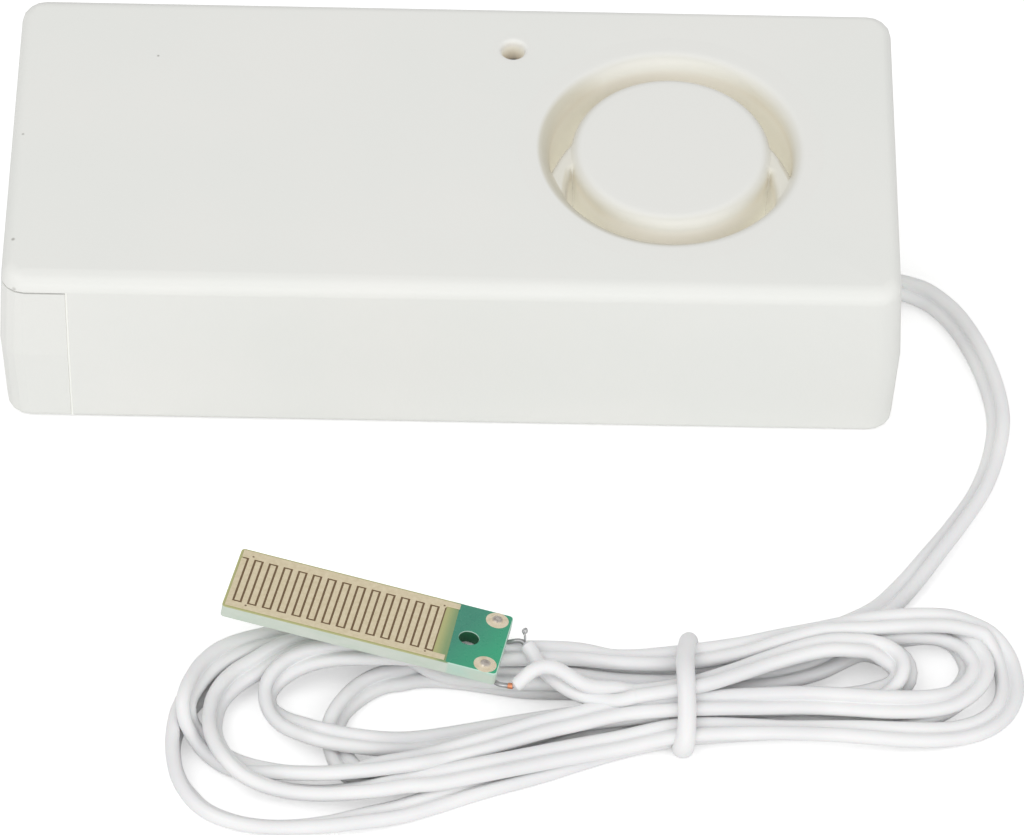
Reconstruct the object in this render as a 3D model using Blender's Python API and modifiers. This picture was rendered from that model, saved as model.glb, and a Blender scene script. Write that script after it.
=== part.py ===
"""Water leak alarm: a nine-volt housing, its twin cord tied in a hank, and the probe board.

The housing stands on Z = 0 with its middle on the origin. X runs along its length, with the
battery door at -X and the cord at +X. The front, where the hank lies, is towards -Y.
"""
import math

import bmesh
import bpy
from mathutils import Euler, Matrix, Vector

MM = 0.001

# Clearances
CLEARANCE = 0.3 * MM
SEAM = 0.25 * MM
FOIL_GAP = 0.05 * MM

# Housing
LENGTH = 112.2 * MM
DEPTH = 50.3 * MM
HEIGHT = 25.4 * MM
CREASE_HEIGHT = 0.496 * HEIGHT
DRAFT_ABOVE = 0.65 * MM
DRAFT_BELOW = 0.45 * MM
PLAN_RADIUS = 3.0 * MM
FRONT_ROUND = 2.2 * MM
SMALL_ROUND_SHARE = 0.62
BASE_ROUND_SHARE = 0.6
WALL = 2.1 * MM
ROOF = 1.9 * MM
CAVITY_RADIUS = 1.6 * MM
RIB = 1.2 * MM
INNER_LENGTH = LENGTH - 2 * WALL
INNER_DEPTH = DEPTH - 2 * WALL
ROOF_UNDERSIDE = HEIGHT - ROOF

# Base cover and its screws
BASE_THICKNESS = 1.8 * MM
BOSS_RADIUS = 3.0 * MM
BOSS_WALL_GAP = 1.3 * MM
BOSS_END_GAP = 0.9 * MM
BOSS_LEDGE_GAP = 1.2 * MM
BASE_BOSS_TOP = 4.0 * MM
BOSS_Y = INNER_DEPTH / 2 - BOSS_WALL_GAP - BOSS_RADIUS
SCREW_RADIUS = 1.1 * MM
SCREW_HEAD_RADIUS = 2.1 * MM
SCREW_HEAD = 1.2 * MM
SCREW_SINK = 0.2 * MM
SCREW_LENGTH = 10.5 * MM
SCREW_SLOT = 0.55 * MM
PILOT_DEPTH = 10.0 * MM
DRILL_TURN = math.radians(5.6)

# Battery door
DOOR_REACH = 8.8 * MM
DOOR_FLOOR = 1.8 * MM
TONGUE_THICKNESS = 1.4 * MM
TONGUE_LOW = 0.36 * HEIGHT
TONGUE_HIGH = 0.64 * HEIGHT
TONGUE_REACH = 8.0 * MM
LEDGE = 1.0 * MM
GRIP_GROOVES = 3
GRIP_PITCH = 1.8 * MM
GRIP_WIDTH = 0.8 * MM
GRIP_DEPTH = 0.45 * MM
GRIP_LENGTH = DEPTH / 3
DOOR_EDGE_X = -LENGTH / 2 + DOOR_REACH
BOSS_XS = (DOOR_EDGE_X + TONGUE_REACH + BOSS_LEDGE_GAP + BOSS_RADIUS,
           INNER_LENGTH / 2 - BOSS_END_GAP - BOSS_RADIUS)

# Battery and its bay
RIB_BOTTOM = 6.0 * MM
KEEPER_HEIGHT = 2.35 * MM
BAY_PLAY = 0.5 * MM
BAY_BOSS_GAP = 2.0 * MM
BAY_HALF = BOSS_Y - BOSS_RADIUS - BAY_BOSS_GAP
BATTERY_LENGTH_SHARE = 0.4218
BATTERY_LENGTH = BATTERY_LENGTH_SHARE * LENGTH
BATTERY_WIDTH = 2 * (BAY_HALF - BAY_PLAY)
BATTERY_ROUND = 1.6 * MM
BATTERY_LIFT = 3.65 * MM
BATTERY_HEIGHT = ROOF_UNDERSIDE - KEEPER_HEIGHT - BATTERY_LIFT
BATTERY_BACK_X = -INNER_LENGTH / 2 + BAY_PLAY
BATTERY_FRONT_X = BATTERY_BACK_X + BATTERY_LENGTH
BATTERY_Z = BATTERY_LIFT + BATTERY_HEIGHT / 2
TERMINAL_Y = BATTERY_WIDTH * 0.242
TERMINAL_HEIGHT = 2.1 * MM
POSITIVE_RADIUS = BATTERY_WIDTH * 0.107
NEGATIVE_RADIUS = BATTERY_WIDTH * 0.149
SNAP_MARGIN = 0.6 * MM
SNAP_LENGTH = BATTERY_WIDTH - 2 * SNAP_MARGIN
SNAP_WIDTH = BATTERY_HEIGHT * 0.7
SNAP_THICKNESS = 4.2 * MM
SNAP_ROOM = 3.8 * MM
LEAD_RADIUS = 0.6 * MM
LEAD_WINDOW = 12.0 * MM
BAY_END_X = BATTERY_FRONT_X + SNAP_THICKNESS + SNAP_ROOM

# Sound outlet
OUTLET_SHIFT = 1.3 * MM
OUTLET_X = (BAY_END_X + RIB + INNER_LENGTH / 2) / 2 - OUTLET_SHIFT
OUTLET_Y = 0.1 * MM
OUTLET_RIM = 1.2 * MM
COLLAR_WALL = 1.5 * MM
RETAINER_WALL = 1.2 * MM
SOUNDER_GAP = 3.05 * MM
OUTLET_ROOM = min(INNER_LENGTH / 2 - OUTLET_X - 2 * OUTLET_SHIFT, INNER_DEPTH / 2 - OUTLET_Y)
OUTLET_RADIUS = OUTLET_ROOM - SOUNDER_GAP - RETAINER_WALL - CLEARANCE - COLLAR_WALL
GROOVE_WIDTH = 4.7 * MM
PLUG_RADIUS = OUTLET_RADIUS - GROOVE_WIDTH
PLUG_RIM = 1.4 * MM
PLUG_DEPTH = 0.4 * HEIGHT
PLUG_WALL = 1.6 * MM
COLLAR_BOTTOM = 0.56 * HEIGHT
COLLAR_OUTER = OUTLET_RADIUS + COLLAR_WALL
OUTLET_STEPS = 48
WEB_DROP = 0.8 * MM
WEB_THICKNESS = 3.8 * MM

# Circuit board
BOARD_GAP = 1.1 * MM
BOARD_SIDE_GAP = 1.3 * MM
BOARD_END_GAP = 7.3 * MM
BOARD_LOW_X = BAY_END_X + RIB + BOARD_GAP
BOARD_HIGH_X = INNER_LENGTH / 2 - BOARD_END_GAP
BOARD_HALF_DEPTH = INNER_DEPTH / 2 - BOARD_SIDE_GAP
BOARD_Z = 0.2 * HEIGHT
BOARD_THICKNESS = 1.6 * MM
BOARD_TOP = BOARD_Z + BOARD_THICKNESS
POST_RADIUS = 2.6 * MM
POST_INSET = 0.7 * MM
POST_START = 4.2 * MM
BOARD_POSTS = ((BOARD_LOW_X + POST_START, -BOARD_HALF_DEPTH + POST_INSET + POST_RADIUS),
               (BOARD_HIGH_X - POST_RADIUS, BOARD_HALF_DEPTH - POST_RADIUS))
BOARD_SCREW_RADIUS = 0.9 * MM
BOARD_SCREW_HEAD_RADIUS = 1.8 * MM
BOARD_SCREW_HEAD = 1.1 * MM
BOARD_SCREW_LENGTH = 7.0 * MM
PART_FOOT = BOARD_TOP + CLEARANCE

# Indicator hole and lamp
LAMP_GAP = 4.2 * MM
LAMP_WALL_GAP = 6.25 * MM
LAMP_X = BAY_END_X + RIB + LAMP_GAP
LAMP_Y = INNER_DEPTH / 2 - LAMP_WALL_GAP
LAMP_HOLE_RADIUS = 1.5 * MM
LAMP_HOLE_ROUND = 0.4 * MM
LAMP_RADIUS = 1.5 * MM
LAMP_FLANGE = 0.4 * MM
LAMP_HEIGHT = 5.3 * MM
LAMP_LEG = 0.5 * MM
LAMP_LEG_X = 0.85 * MM

# Sounder
PIEZO_OVERLAP = 0.6 * MM
PIEZO_RADIUS = OUTLET_RADIUS + PIEZO_OVERLAP
PIEZO_PLATE = 0.4 * MM
PLATE_MARGIN = 5.0 * MM
CERAMIC_RADIUS = PIEZO_RADIUS - PLATE_MARGIN
CERAMIC = 0.3 * MM
RETAINER_HEIGHT = 5.3 * MM
RETAINER_FLANGE = 1.3 * MM
RETAINER_GRIP = 2.5 * MM
RETAINER_OPENING = PIEZO_RADIUS - RETAINER_GRIP
PIEZO_TOP = COLLAR_BOTTOM - CLEARANCE
PIEZO_BOTTOM = PIEZO_TOP - PIEZO_PLATE
FLANGE_TOP = PIEZO_BOTTOM - CLEARANCE
PIEZO_LEAD_RADIUS = 0.4 * MM
PART_CEILING = FLANGE_TOP - RETAINER_FLANGE - CLEARANCE

# Parts on the circuit board
CHIP_HALF_LONG = 4.7 * MM
CHIP_HALF_WIDE = 3.2 * MM
CHIP_HEIGHT = 3.2 * MM
CHIP_LIFT = 0.6 * MM
CHIP_LEG = 0.5 * MM
CHIP_LEG_REACH = 0.7 * MM
CHIP_LEG_PITCH = 2.3 * MM
TRANSISTOR_RADIUS = 2.3 * MM
TRANSISTOR_LEG_HEIGHT = 0.9 * MM
TRANSISTOR_HEIGHT = PART_CEILING - PART_FOOT - TRANSISTOR_LEG_HEIGHT
TRANSISTOR_LEG = 0.5 * MM
LEG_PITCH = 1.27 * MM
PART_END_GAP = 0.3 * MM
COIL_FLANGE = 3.2 * MM
COIL_NECK = 1.2 * MM
COIL_HEIGHT = 8.0 * MM
COIL_LIP = 1.0 * MM
COIL_EDGE_GAP = 0.1 * MM
COIL_SIDE_GAP = 0.2 * MM
CAPACITOR_RADIUS = (PART_CEILING - PART_FOOT) * 0.444
CAPACITOR_LENGTH = 7.0 * MM
CAPACITOR_CRIMP = 0.25 * MM
CAPACITOR_NECK = 1.2 * MM
RESISTOR_RADIUS = 1.1 * MM
RESISTOR_LENGTH = 6.0 * MM
RESISTOR_LEAD = 0.3 * MM
RESISTOR_REACH = 1.6 * MM

# Cord
CORD_RADIUS = 1.75 * MM
CORE_RADIUS = CORD_RADIUS / 2
EXIT_Y = -1.5 * MM
EXIT_Z = 2.6 * MM
EXIT_RADIUS = CORD_RADIUS + CLEARANCE
STOP_INSET = 4.6 * MM
STOP_X = LENGTH / 2 - STOP_INSET
STOP_WALL = 0.8 * MM
STOP_WIDTH = 1.6 * MM
HANK_BOTTOM = 0.1 * MM
HANK_TOP = 4.2 * MM
TIE_RADIUS = 0.95 * MM
TIE_CORNER = 1.35 * MM
TIE_X = 29.6 * MM
TIE_LEAN = 1.6 * MM
HANK_SHIFT = 0.7 * MM
HANK_Y = -DEPTH / 2 + HANK_SHIFT
TIE_LOW_Y = HANK_Y - 51.2 * MM
TIE_HIGH_Y = HANK_Y - 35.9 * MM

# Probe board, in its own frame: X along it, Z out of its printed face
PROBE_PLACE = (-9.24 * MM, HANK_Y - 37.76 * MM, 9.0 * MM)
PROBE_TURN = (math.radians(-11.0), math.radians(6.0), math.radians(-12.1))
PROBE_LENGTH = 34.1 * MM
PROBE_WIDTH = 11.1 * MM
PROBE_THICKNESS = 1.7 * MM
PROBE_CORNER = 0.4 * MM
PROBE_HOLE_X = PROBE_LENGTH / 2 - 4.45 * MM
PROBE_HOLE_RADIUS = 1.25 * MM
COMB_FINGERS = 14
COMB_MARGIN = 0.25 * MM
COMB_TAB = 1.64 * MM
COMB_GAP = 0.2 * MM
COMB_START = -PROBE_LENGTH / 2 + COMB_MARGIN
COMB_TAB_END = PROBE_LENGTH / 2 - 6.45 * MM
COMB_PITCH = (COMB_TAB_END - COMB_TAB - COMB_START) / COMB_FINGERS
COMB_TAB_INSET = 0.35 * MM
FAR_BUS = 1.35 * MM
NEAR_BUS = 1.1 * MM
FOIL = 0.12 * MM
PAD_RADIUS = 1.4 * MM
PAD_X = PROBE_LENGTH / 2 - PAD_RADIUS - 0.35 * MM
PAD_Y = PROBE_WIDTH / 2 - PAD_RADIUS + 0.05 * MM
PAD_SHAFT_RADIUS = 0.45 * MM
PAD_DOME = 0.45 * MM
WIRE_RADIUS = 0.35 * MM

# Hand-chosen points of the routes, in millimetres: from the cord's exit
TAIL_ROUTE = ((-1.0, 0.0, 0.0), (-2.6, 0.0, 0.1), (-4.1, 0.0, 0.3), (-5.4, 0.0, 0.6), (-6.5, 0.0, 1.0))
CORD_START_ROUTE = (
    (-0.7, 0.0, 0.0), (1.7, -0.4, -0.3), (4.5, -1.9, -0.65), (7.6, -4.9, -0.72), (10.2, -9.7, -0.75),
    (12.1, -15.8, -0.75),
)

# From the cord's exit, with the height as a share of the way up to the parts' ceiling
CORE_ROUTE = (
    (-6.9, 0.95, 0.193), (-7.6, 1.45, 0.409), (-8.7, 2.0, 0.659), (-10.4, 2.4, 0.716), (-11.8, 2.5, 0.6),
)

# From under the middle of the front edge
CORD_END_ROUTE = (
    (69.0, 1.1, 1.85), (68.3, -4.8, 1.85), (66.4, -10.6, 1.85), (63.7, -16.0, 1.85), (60.6, -21.6, 1.85),
    (57.6, -28.3, 1.85),
)
HANK_OUTLINE = (
    (-33.2, -52.0), (-31.0, -59.2), (-24.5, -63.6), (-15.0, -64.7), (-2.5, -61.4), (14.0, -54.2),
    (29.6, -51.2), (50.0, -51.2), (63.0, -50.7), (69.3, -44.6), (69.3, -36.0), (61.5, -29.6),
    (45.0, -32.3), (29.6, -36.4), (15.5, -36.6), (9.5, -40.4), (2.5, -41.0), (-4.5, -38.6), (-13.0, -36.3),
    (-23.0, -36.5), (-30.6, -42.5),
)
NEAR_WIRE_ROUTE = (
    (20.3, -45.8, 5.8), (17.7, -45.4, 6.5), (15.2, -44.8, 7.6), (12.7, -44.4, 8.1), (10.7, -44.8, 7.5),
    (9.2, -45.8, 6.4), (8.6, -46.5, 5.9),
)
FAR_WIRE_ROUTE = (
    (20.3, -47.95, 5.8), (18.2, -47.5, 5.6), (15.8, -46.1, 5.45), (13.6, -44.4, 5.45), (11.7, -42.8, 5.45),
    (10.2, -41.0, 5.45), (9.5, -39.5, 5.4),
)

# From the bay's end, with the height as a share of the way from circuit board to battery's middle
BATTERY_LEAD_ROUTE = (
    (-3.2, 4.5, 1.133), (-0.6, 4.4, 1.168), (1.8, 4.2, 0.991), (3.6, 4.0, 0.531), (4.2, 4.0, 0.062),
)

# From the outlet's middle, in shares of the disc's radius and of the way from circuit board to piezo disc
PLATE_LEAD_ROUTE = (
    (-0.783, 0.0, 0.955), (-0.777, -0.029, 0.627), (-0.731, -0.086, 0.328), (-0.709, -0.109, 0.055),
)
CERAMIC_LEAD_ROUTE = (
    (-0.149, 0.234, 0.91), (-0.274, 0.36, 0.6), (-0.377, 0.474, 0.3), (-0.4, 0.509, 0.055),
)

# Places on the circuit board, as shares of its length from the battery and of its half depth
CHIP_PLACE = (0.646, 0.34)
CAPACITOR_PLACE = (0.816, -0.534)
TRANSISTOR_PLACE = -0.505
RESISTOR_PLACES = ((0.38, -0.291), (0.501, -0.291), (0.622, -0.291))

# Plan of the right-hand web: angle in degrees, and the share of the way from plug to outer wall
WEB_PLAN = (
    (11.7, -0.184), (-14.6, -0.155), (-16.3, 0.132), (-22.4, 0.304), (-29.1, 0.557), (-35.7, 0.758),
    (-41.8, 0.885), (-46.2, 1.001), (-48.1, 1.352), (-29.5, 1.465), (-19.7, 0.931), (-11.1, 0.613),
    (-4.9, 0.415), (2.2, 0.215), (7.5, 0.012),
)


def clear_scene():
    """Remove every object, so that the model starts from an empty scene."""
    for thing in list(bpy.data.objects):
        bpy.data.objects.remove(thing, do_unlink=True)


def new_collection(name):
    """Make a collection under the scene's own."""
    collection = bpy.data.collections.new(name)
    bpy.context.scene.collection.children.link(collection)
    return collection


def finish(name, colour, roughness, metallic=0.0):
    """A Principled material."""
    material = bpy.data.materials.new(name)
    material.use_nodes = True
    shader = material.node_tree.nodes["Principled BSDF"]
    shader.inputs["Base Color"].default_value = (*colour, 1.0)
    shader.inputs["Roughness"].default_value = roughness
    shader.inputs["Metallic"].default_value = metallic
    return material


def add_object(name, data, collection, material=None):
    """Link a new object that shows the given mesh or curve."""
    thing = bpy.data.objects.new(name, data)
    collection.objects.link(thing)
    if material:
        data.materials.append(material)
    return thing


def mesh_from(bm, name):
    """Turn a bmesh into a mesh."""
    mesh = bpy.data.meshes.new(name)
    bm.to_mesh(mesh)
    bm.free()
    return mesh


def box(name, low, high, collection, material=None, corner=0.0, corner_axis=2):
    """A box between two corners; corner rounds its edges along one axis."""
    low, high = Vector(low), Vector(high)
    size = high - low
    place = Matrix.Translation((low + high) / 2) @ Matrix.Diagonal((*size, 1.0))
    bm = bmesh.new()
    bmesh.ops.create_cube(bm, size=1.0, matrix=place)
    if corner:
        upright = [e for e in bm.edges
                   if abs((e.verts[0].co - e.verts[1].co)[corner_axis]) > size[corner_axis] / 2]
        bmesh.ops.bevel(bm, geom=upright, offset=corner, segments=4, profile=0.5, affect="EDGES")
    return add_object(name, mesh_from(bm, name), collection, material)


def turned(name, profile, collection, material=None, steps=32, place=(0, 0, 0), turn=(0, 0, 0), ring=False):
    """Turn a profile of (radius, height) points round Z; a ring's profile closes on itself."""
    bm = bmesh.new()
    points = [bm.verts.new((radius, 0.0, height)) for radius, height in profile]
    for first, second in zip(points, points[1:]):
        bm.edges.new((first, second))
    if ring:
        bm.edges.new((points[-1], points[0]))
    thing = add_object(name, mesh_from(bm, name), collection, material)
    screw = thing.modifiers.new("Turn", "SCREW")
    screw.axis = "Z"
    screw.steps = steps
    screw.render_steps = steps
    screw.use_merge_vertices = True
    screw.merge_threshold = 0.00001
    screw.use_smooth_shade = True
    thing.location = place
    thing.rotation_euler = turn
    return thing


def rod(name, radius, low, high, centre, collection):
    """An upright cylinder as a turned piece."""
    return turned(name, [(0, high), (radius, high), (radius, low), (0, low)], collection,
                  steps=24, place=(centre[0], centre[1], 0))


def drill(name, radius, low, high, centre, collection):
    """A cutter for a round hole, its facets turned away from those of the boss round it."""
    return turned(name, [(0, high), (radius, high), (radius, low), (0, low)], collection,
                  steps=16, place=(centre[0], centre[1], 0), turn=(0, 0, DRILL_TURN))


def arc(centre, radius, start, end, count):
    """Points of an arc in a profile, by angles in degrees."""
    angles = [math.radians(start + (end - start) * i / count) for i in range(count + 1)]
    return [(centre[0] + radius * math.cos(a), centre[1] + radius * math.sin(a)) for a in angles]


def route(points, per_span=4):
    """A smooth route through hand-chosen points, given in millimetres."""
    anchors = [Vector(p) * MM for p in points]
    padded = [2 * anchors[0] - anchors[1], *anchors, 2 * anchors[-1] - anchors[-2]]
    smooth = []
    for a, b, c, d in zip(padded, padded[1:], padded[2:], padded[3:]):
        for i in range(per_span):
            t = i / per_span
            smooth.append(0.5 * (2 * b + (c - a) * t + (2 * a - 5 * b + 4 * c - d) * t ** 2
                                 + (3 * b - a - 3 * c + d) * t ** 3))
    return smooth + [anchors[-1]]


def tube(name, points, radius, collection, material=None, closed=False):
    """A round tube along points."""
    curve = bpy.data.curves.new(name, "CURVE")
    curve.dimensions = "3D"
    curve.bevel_depth = radius
    curve.bevel_resolution = 2
    curve.use_fill_caps = not closed
    spline = curve.splines.new("POLY")
    spline.points.add(len(points) - 1)
    for point, place in zip(spline.points, points):
        point.co = (*place, 1.0)
    spline.use_cyclic_u = closed
    return add_object(name, curve, collection, material)


def plate(name, outline, low, high, collection, material=None):
    """A flat outline, filled and made as thick as the space between two heights."""
    curve = bpy.data.curves.new(name, "CURVE")
    curve.dimensions = "2D"
    curve.fill_mode = "BOTH"
    curve.extrude = (high - low) / 2
    spline = curve.splines.new("POLY")
    spline.points.add(len(outline) - 1)
    for point, place in zip(spline.points, outline):
        point.co = (place[0], place[1], 0.0, 1.0)
    spline.use_cyclic_u = True
    thing = add_object(name, curve, collection, material)
    thing.location.z = (low + high) / 2
    return thing


def as_mesh(curve_object, collection):
    """The mesh of a curve object, welded shut, in a new object at the same place."""
    bpy.context.view_layer.update()
    evaluated = curve_object.evaluated_get(bpy.context.evaluated_depsgraph_get())
    mesh = bpy.data.meshes.new_from_object(evaluated)
    bm = bmesh.new()
    bm.from_mesh(mesh)
    bmesh.ops.remove_doubles(bm, verts=bm.verts, dist=0.000001)
    bmesh.ops.recalc_face_normals(bm, faces=bm.faces)
    bm.to_mesh(mesh)
    bm.free()
    name = curve_object.name
    place = curve_object.matrix_world.copy()
    bpy.data.objects.remove(curve_object, do_unlink=True)
    thing = add_object(name, mesh, collection)
    thing.matrix_world = place
    return thing


def combine(target, operation, *tools):
    """Add a Boolean modifier to the target for each tool."""
    for tool in tools:
        tool.hide_render = True
        tool.display_type = "WIRE"
        boolean = target.modifiers.new(f"{operation.title()} {tool.name}", "BOOLEAN")
        boolean.operation = operation
        boolean.solver = "EXACT"
        boolean.object = tool


def cut(target, *tools):
    """Cut the tools out of the target."""
    combine(target, "DIFFERENCE", *tools)


def join(target, *tools):
    """Make the tools part of the target."""
    combine(target, "UNION", *tools)


def mirrored(points):
    """A plan outline mirrored in X, with its direction kept."""
    return [(-x, y) for x, y in reversed(points)]


def web_plan():
    """The right-hand web's outline, from the outlet's middle."""
    outline = []
    for angle, share in WEB_PLAN:
        radius = PLUG_RADIUS + share * GROOVE_WIDTH
        turn = math.radians(angle)
        outline.append((radius * math.cos(turn), radius * math.sin(turn)))
    return outline


def moved(points, place):
    """Route points in millimetres, moved to start from a place given in metres."""
    return [tuple(part + start / MM for part, start in zip(point, place)) for point in points]


def on_board(place):
    """Where a place in shares of the circuit board lies."""
    return BOARD_LOW_X + place[0] * (BOARD_HIGH_X - BOARD_LOW_X), place[1] * BOARD_HALF_DEPTH


def risen(points, place, high, side=1, unit=MM):
    """Route points from a place, their heights given as shares of the way up to another height."""
    rise = (high - place[2]) / MM
    wide = unit / MM
    return moved([(x * wide, side * y * wide, share * rise) for x, y, share in points], place)


class Workshop:
    """The two collections that the pieces and their cutters go in."""

    def __init__(self):
        self.pieces = new_collection("water_leak_sensor")
        self.cutters = new_collection("cutters")


def housing_block(name, collection, material):
    """The outer form: a box with a crease half way up, drafted both ways, with round edges."""
    bm = bmesh.new()
    top = Vector((LENGTH - 2 * DRAFT_ABOVE, DEPTH - 2 * DRAFT_ABOVE, HEIGHT))
    place = Matrix.Translation((0, 0, HEIGHT / 2)) @ Matrix.Diagonal((*top, 1.0))
    bmesh.ops.create_cube(bm, size=1.0, matrix=place)
    bmesh.ops.bisect_plane(bm, geom=[*bm.verts, *bm.edges, *bm.faces],
                           plane_co=(0, 0, CREASE_HEIGHT), plane_no=(0, 0, 1))
    widen = {"crease": DRAFT_ABOVE, "base": DRAFT_ABOVE - DRAFT_BELOW}
    for vert in bm.verts:
        level = "crease" if abs(vert.co.z - CREASE_HEIGHT) < CLEARANCE else "base"
        if vert.co.z < HEIGHT - CLEARANCE:
            vert.co.x += math.copysign(widen[level], vert.co.x)
            vert.co.y += math.copysign(widen[level], vert.co.y)
    upright = [e for e in bm.edges if abs(e.verts[0].co.z - e.verts[1].co.z) > PLAN_RADIUS]
    bmesh.ops.bevel(bm, geom=upright, offset=PLAN_RADIUS, segments=4, profile=0.5, affect="EDGES")
    weight = bm.edges.layers.float.new("bevel_weight_edge")
    front = -DEPTH / 2 + DRAFT_ABOVE + PLAN_RADIUS
    for edge in bm.edges:
        heights = [v.co.z for v in edge.verts]
        middle = (edge.verts[0].co + edge.verts[1].co) / 2
        if min(heights) > HEIGHT - CLEARANCE:
            blend = min(max((front - middle.y) / PLAN_RADIUS, 0.0), 1.0)
            edge[weight] = SMALL_ROUND_SHARE + (1.0 - SMALL_ROUND_SHARE) * blend
        elif max(heights) < CLEARANCE:
            edge[weight] = BASE_ROUND_SHARE
    thing = add_object(name, mesh_from(bm, name), collection, material)
    thing.data.shade_smooth()
    thing.data.set_sharp_from_angle(angle=math.radians(30))
    rounding = thing.modifiers.new("Round edges", "BEVEL")
    rounding.limit_method = "WEIGHT"
    rounding.width = FRONT_ROUND
    rounding.segments = 4
    return thing


def cavity_block(shop, name, low, high):
    """A cutter of the housing's inner plan between two heights."""
    return box(name, (-INNER_LENGTH / 2, -INNER_DEPTH / 2, low), (INNER_LENGTH / 2, INNER_DEPTH / 2, high),
               shop.cutters, corner=CAVITY_RADIUS)


def outlet_tools(shop):
    """The collar and puck to join, and the grooved ring to cut, of the sound outlet."""
    middle = (OUTLET_X, OUTLET_Y, 0)
    root = HEIGHT - ROOF / 2
    collar_inner = OUTLET_RADIUS - COLLAR_WALL / 2
    cup_radius = PLUG_RADIUS - PLUG_WALL
    section = [(COLLAR_OUTER, root), (COLLAR_OUTER, COLLAR_BOTTOM), (collar_inner, COLLAR_BOTTOM),
               (collar_inner, HEIGHT - PLUG_DEPTH), (cup_radius, HEIGHT - PLUG_DEPTH), (cup_radius, root)]
    collar = turned("collar", section, shop.cutters, steps=OUTLET_STEPS, place=middle, ring=True)
    rim = arc((PLUG_RADIUS - PLUG_RIM, HEIGHT - PLUG_RIM), PLUG_RIM, 90, 0, 4)
    flare = arc((OUTLET_RADIUS + OUTLET_RIM, HEIGHT - OUTLET_RIM), OUTLET_RIM, 180, 90, 4)
    above, below = HEIGHT + WALL, COLLAR_BOTTOM - WALL
    section = [(OUTLET_RADIUS + OUTLET_RIM, above), (PLUG_RADIUS - PLUG_RIM, above), *rim,
               (PLUG_RADIUS, below), (OUTLET_RADIUS, below), *flare]
    groove = turned("outlet_groove", section, shop.cutters, steps=OUTLET_STEPS, place=middle,
                    turn=(0, 0, math.pi / OUTLET_STEPS), ring=True)
    top = HEIGHT - WEB_DROP
    for name, plan in (("web_right", web_plan()), ("web_left", mirrored(web_plan()))):
        placed = [(OUTLET_X + x, OUTLET_Y + y) for x, y in plan]
        web = plate(name, placed, top - WEB_THICKNESS, top, shop.cutters)
        cut(groove, as_mesh(web, shop.cutters))
    return collar, groove


def bay_ribs(shop):
    """The ribs under the roof that hold the battery on its sides, its end and its top."""
    low_x = DOOR_EDGE_X + CLEARANCE
    root = HEIGHT - ROOF / 2
    ribs = []
    for side in (-1, 1):
        inner = side * BAY_HALF
        outer = side * (BAY_HALF + RIB)
        ribs.append(box(f"bay_side_{side}", (low_x, min(inner, outer), RIB_BOTTOM),
                        (BAY_END_X + RIB / 2, max(inner, outer), root), shop.cutters))
        keeper = side * BATTERY_WIDTH / 3
        ribs.append(box(f"bay_keeper_{side}",
                        (low_x, keeper - RIB / 2, BATTERY_LIFT + BATTERY_HEIGHT + CLEARANCE),
                        (BATTERY_FRONT_X, keeper + RIB / 2, root), shop.cutters))
    ribs.append(box("bay_end", (BAY_END_X, -BAY_HALF - RIB / 2, RIB_BOTTOM + RIB),
                    (BAY_END_X + RIB, BAY_HALF + RIB / 2, root), shop.cutters))
    window = box("lead_window", (BAY_END_X - RIB, -LEAD_WINDOW / 2, 0),
                 (BAY_END_X + 2 * RIB, LEAD_WINDOW / 2, BATTERY_Z + 3 * LEAD_RADIUS + CLEARANCE), shop.cutters)
    return ribs, window


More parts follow.
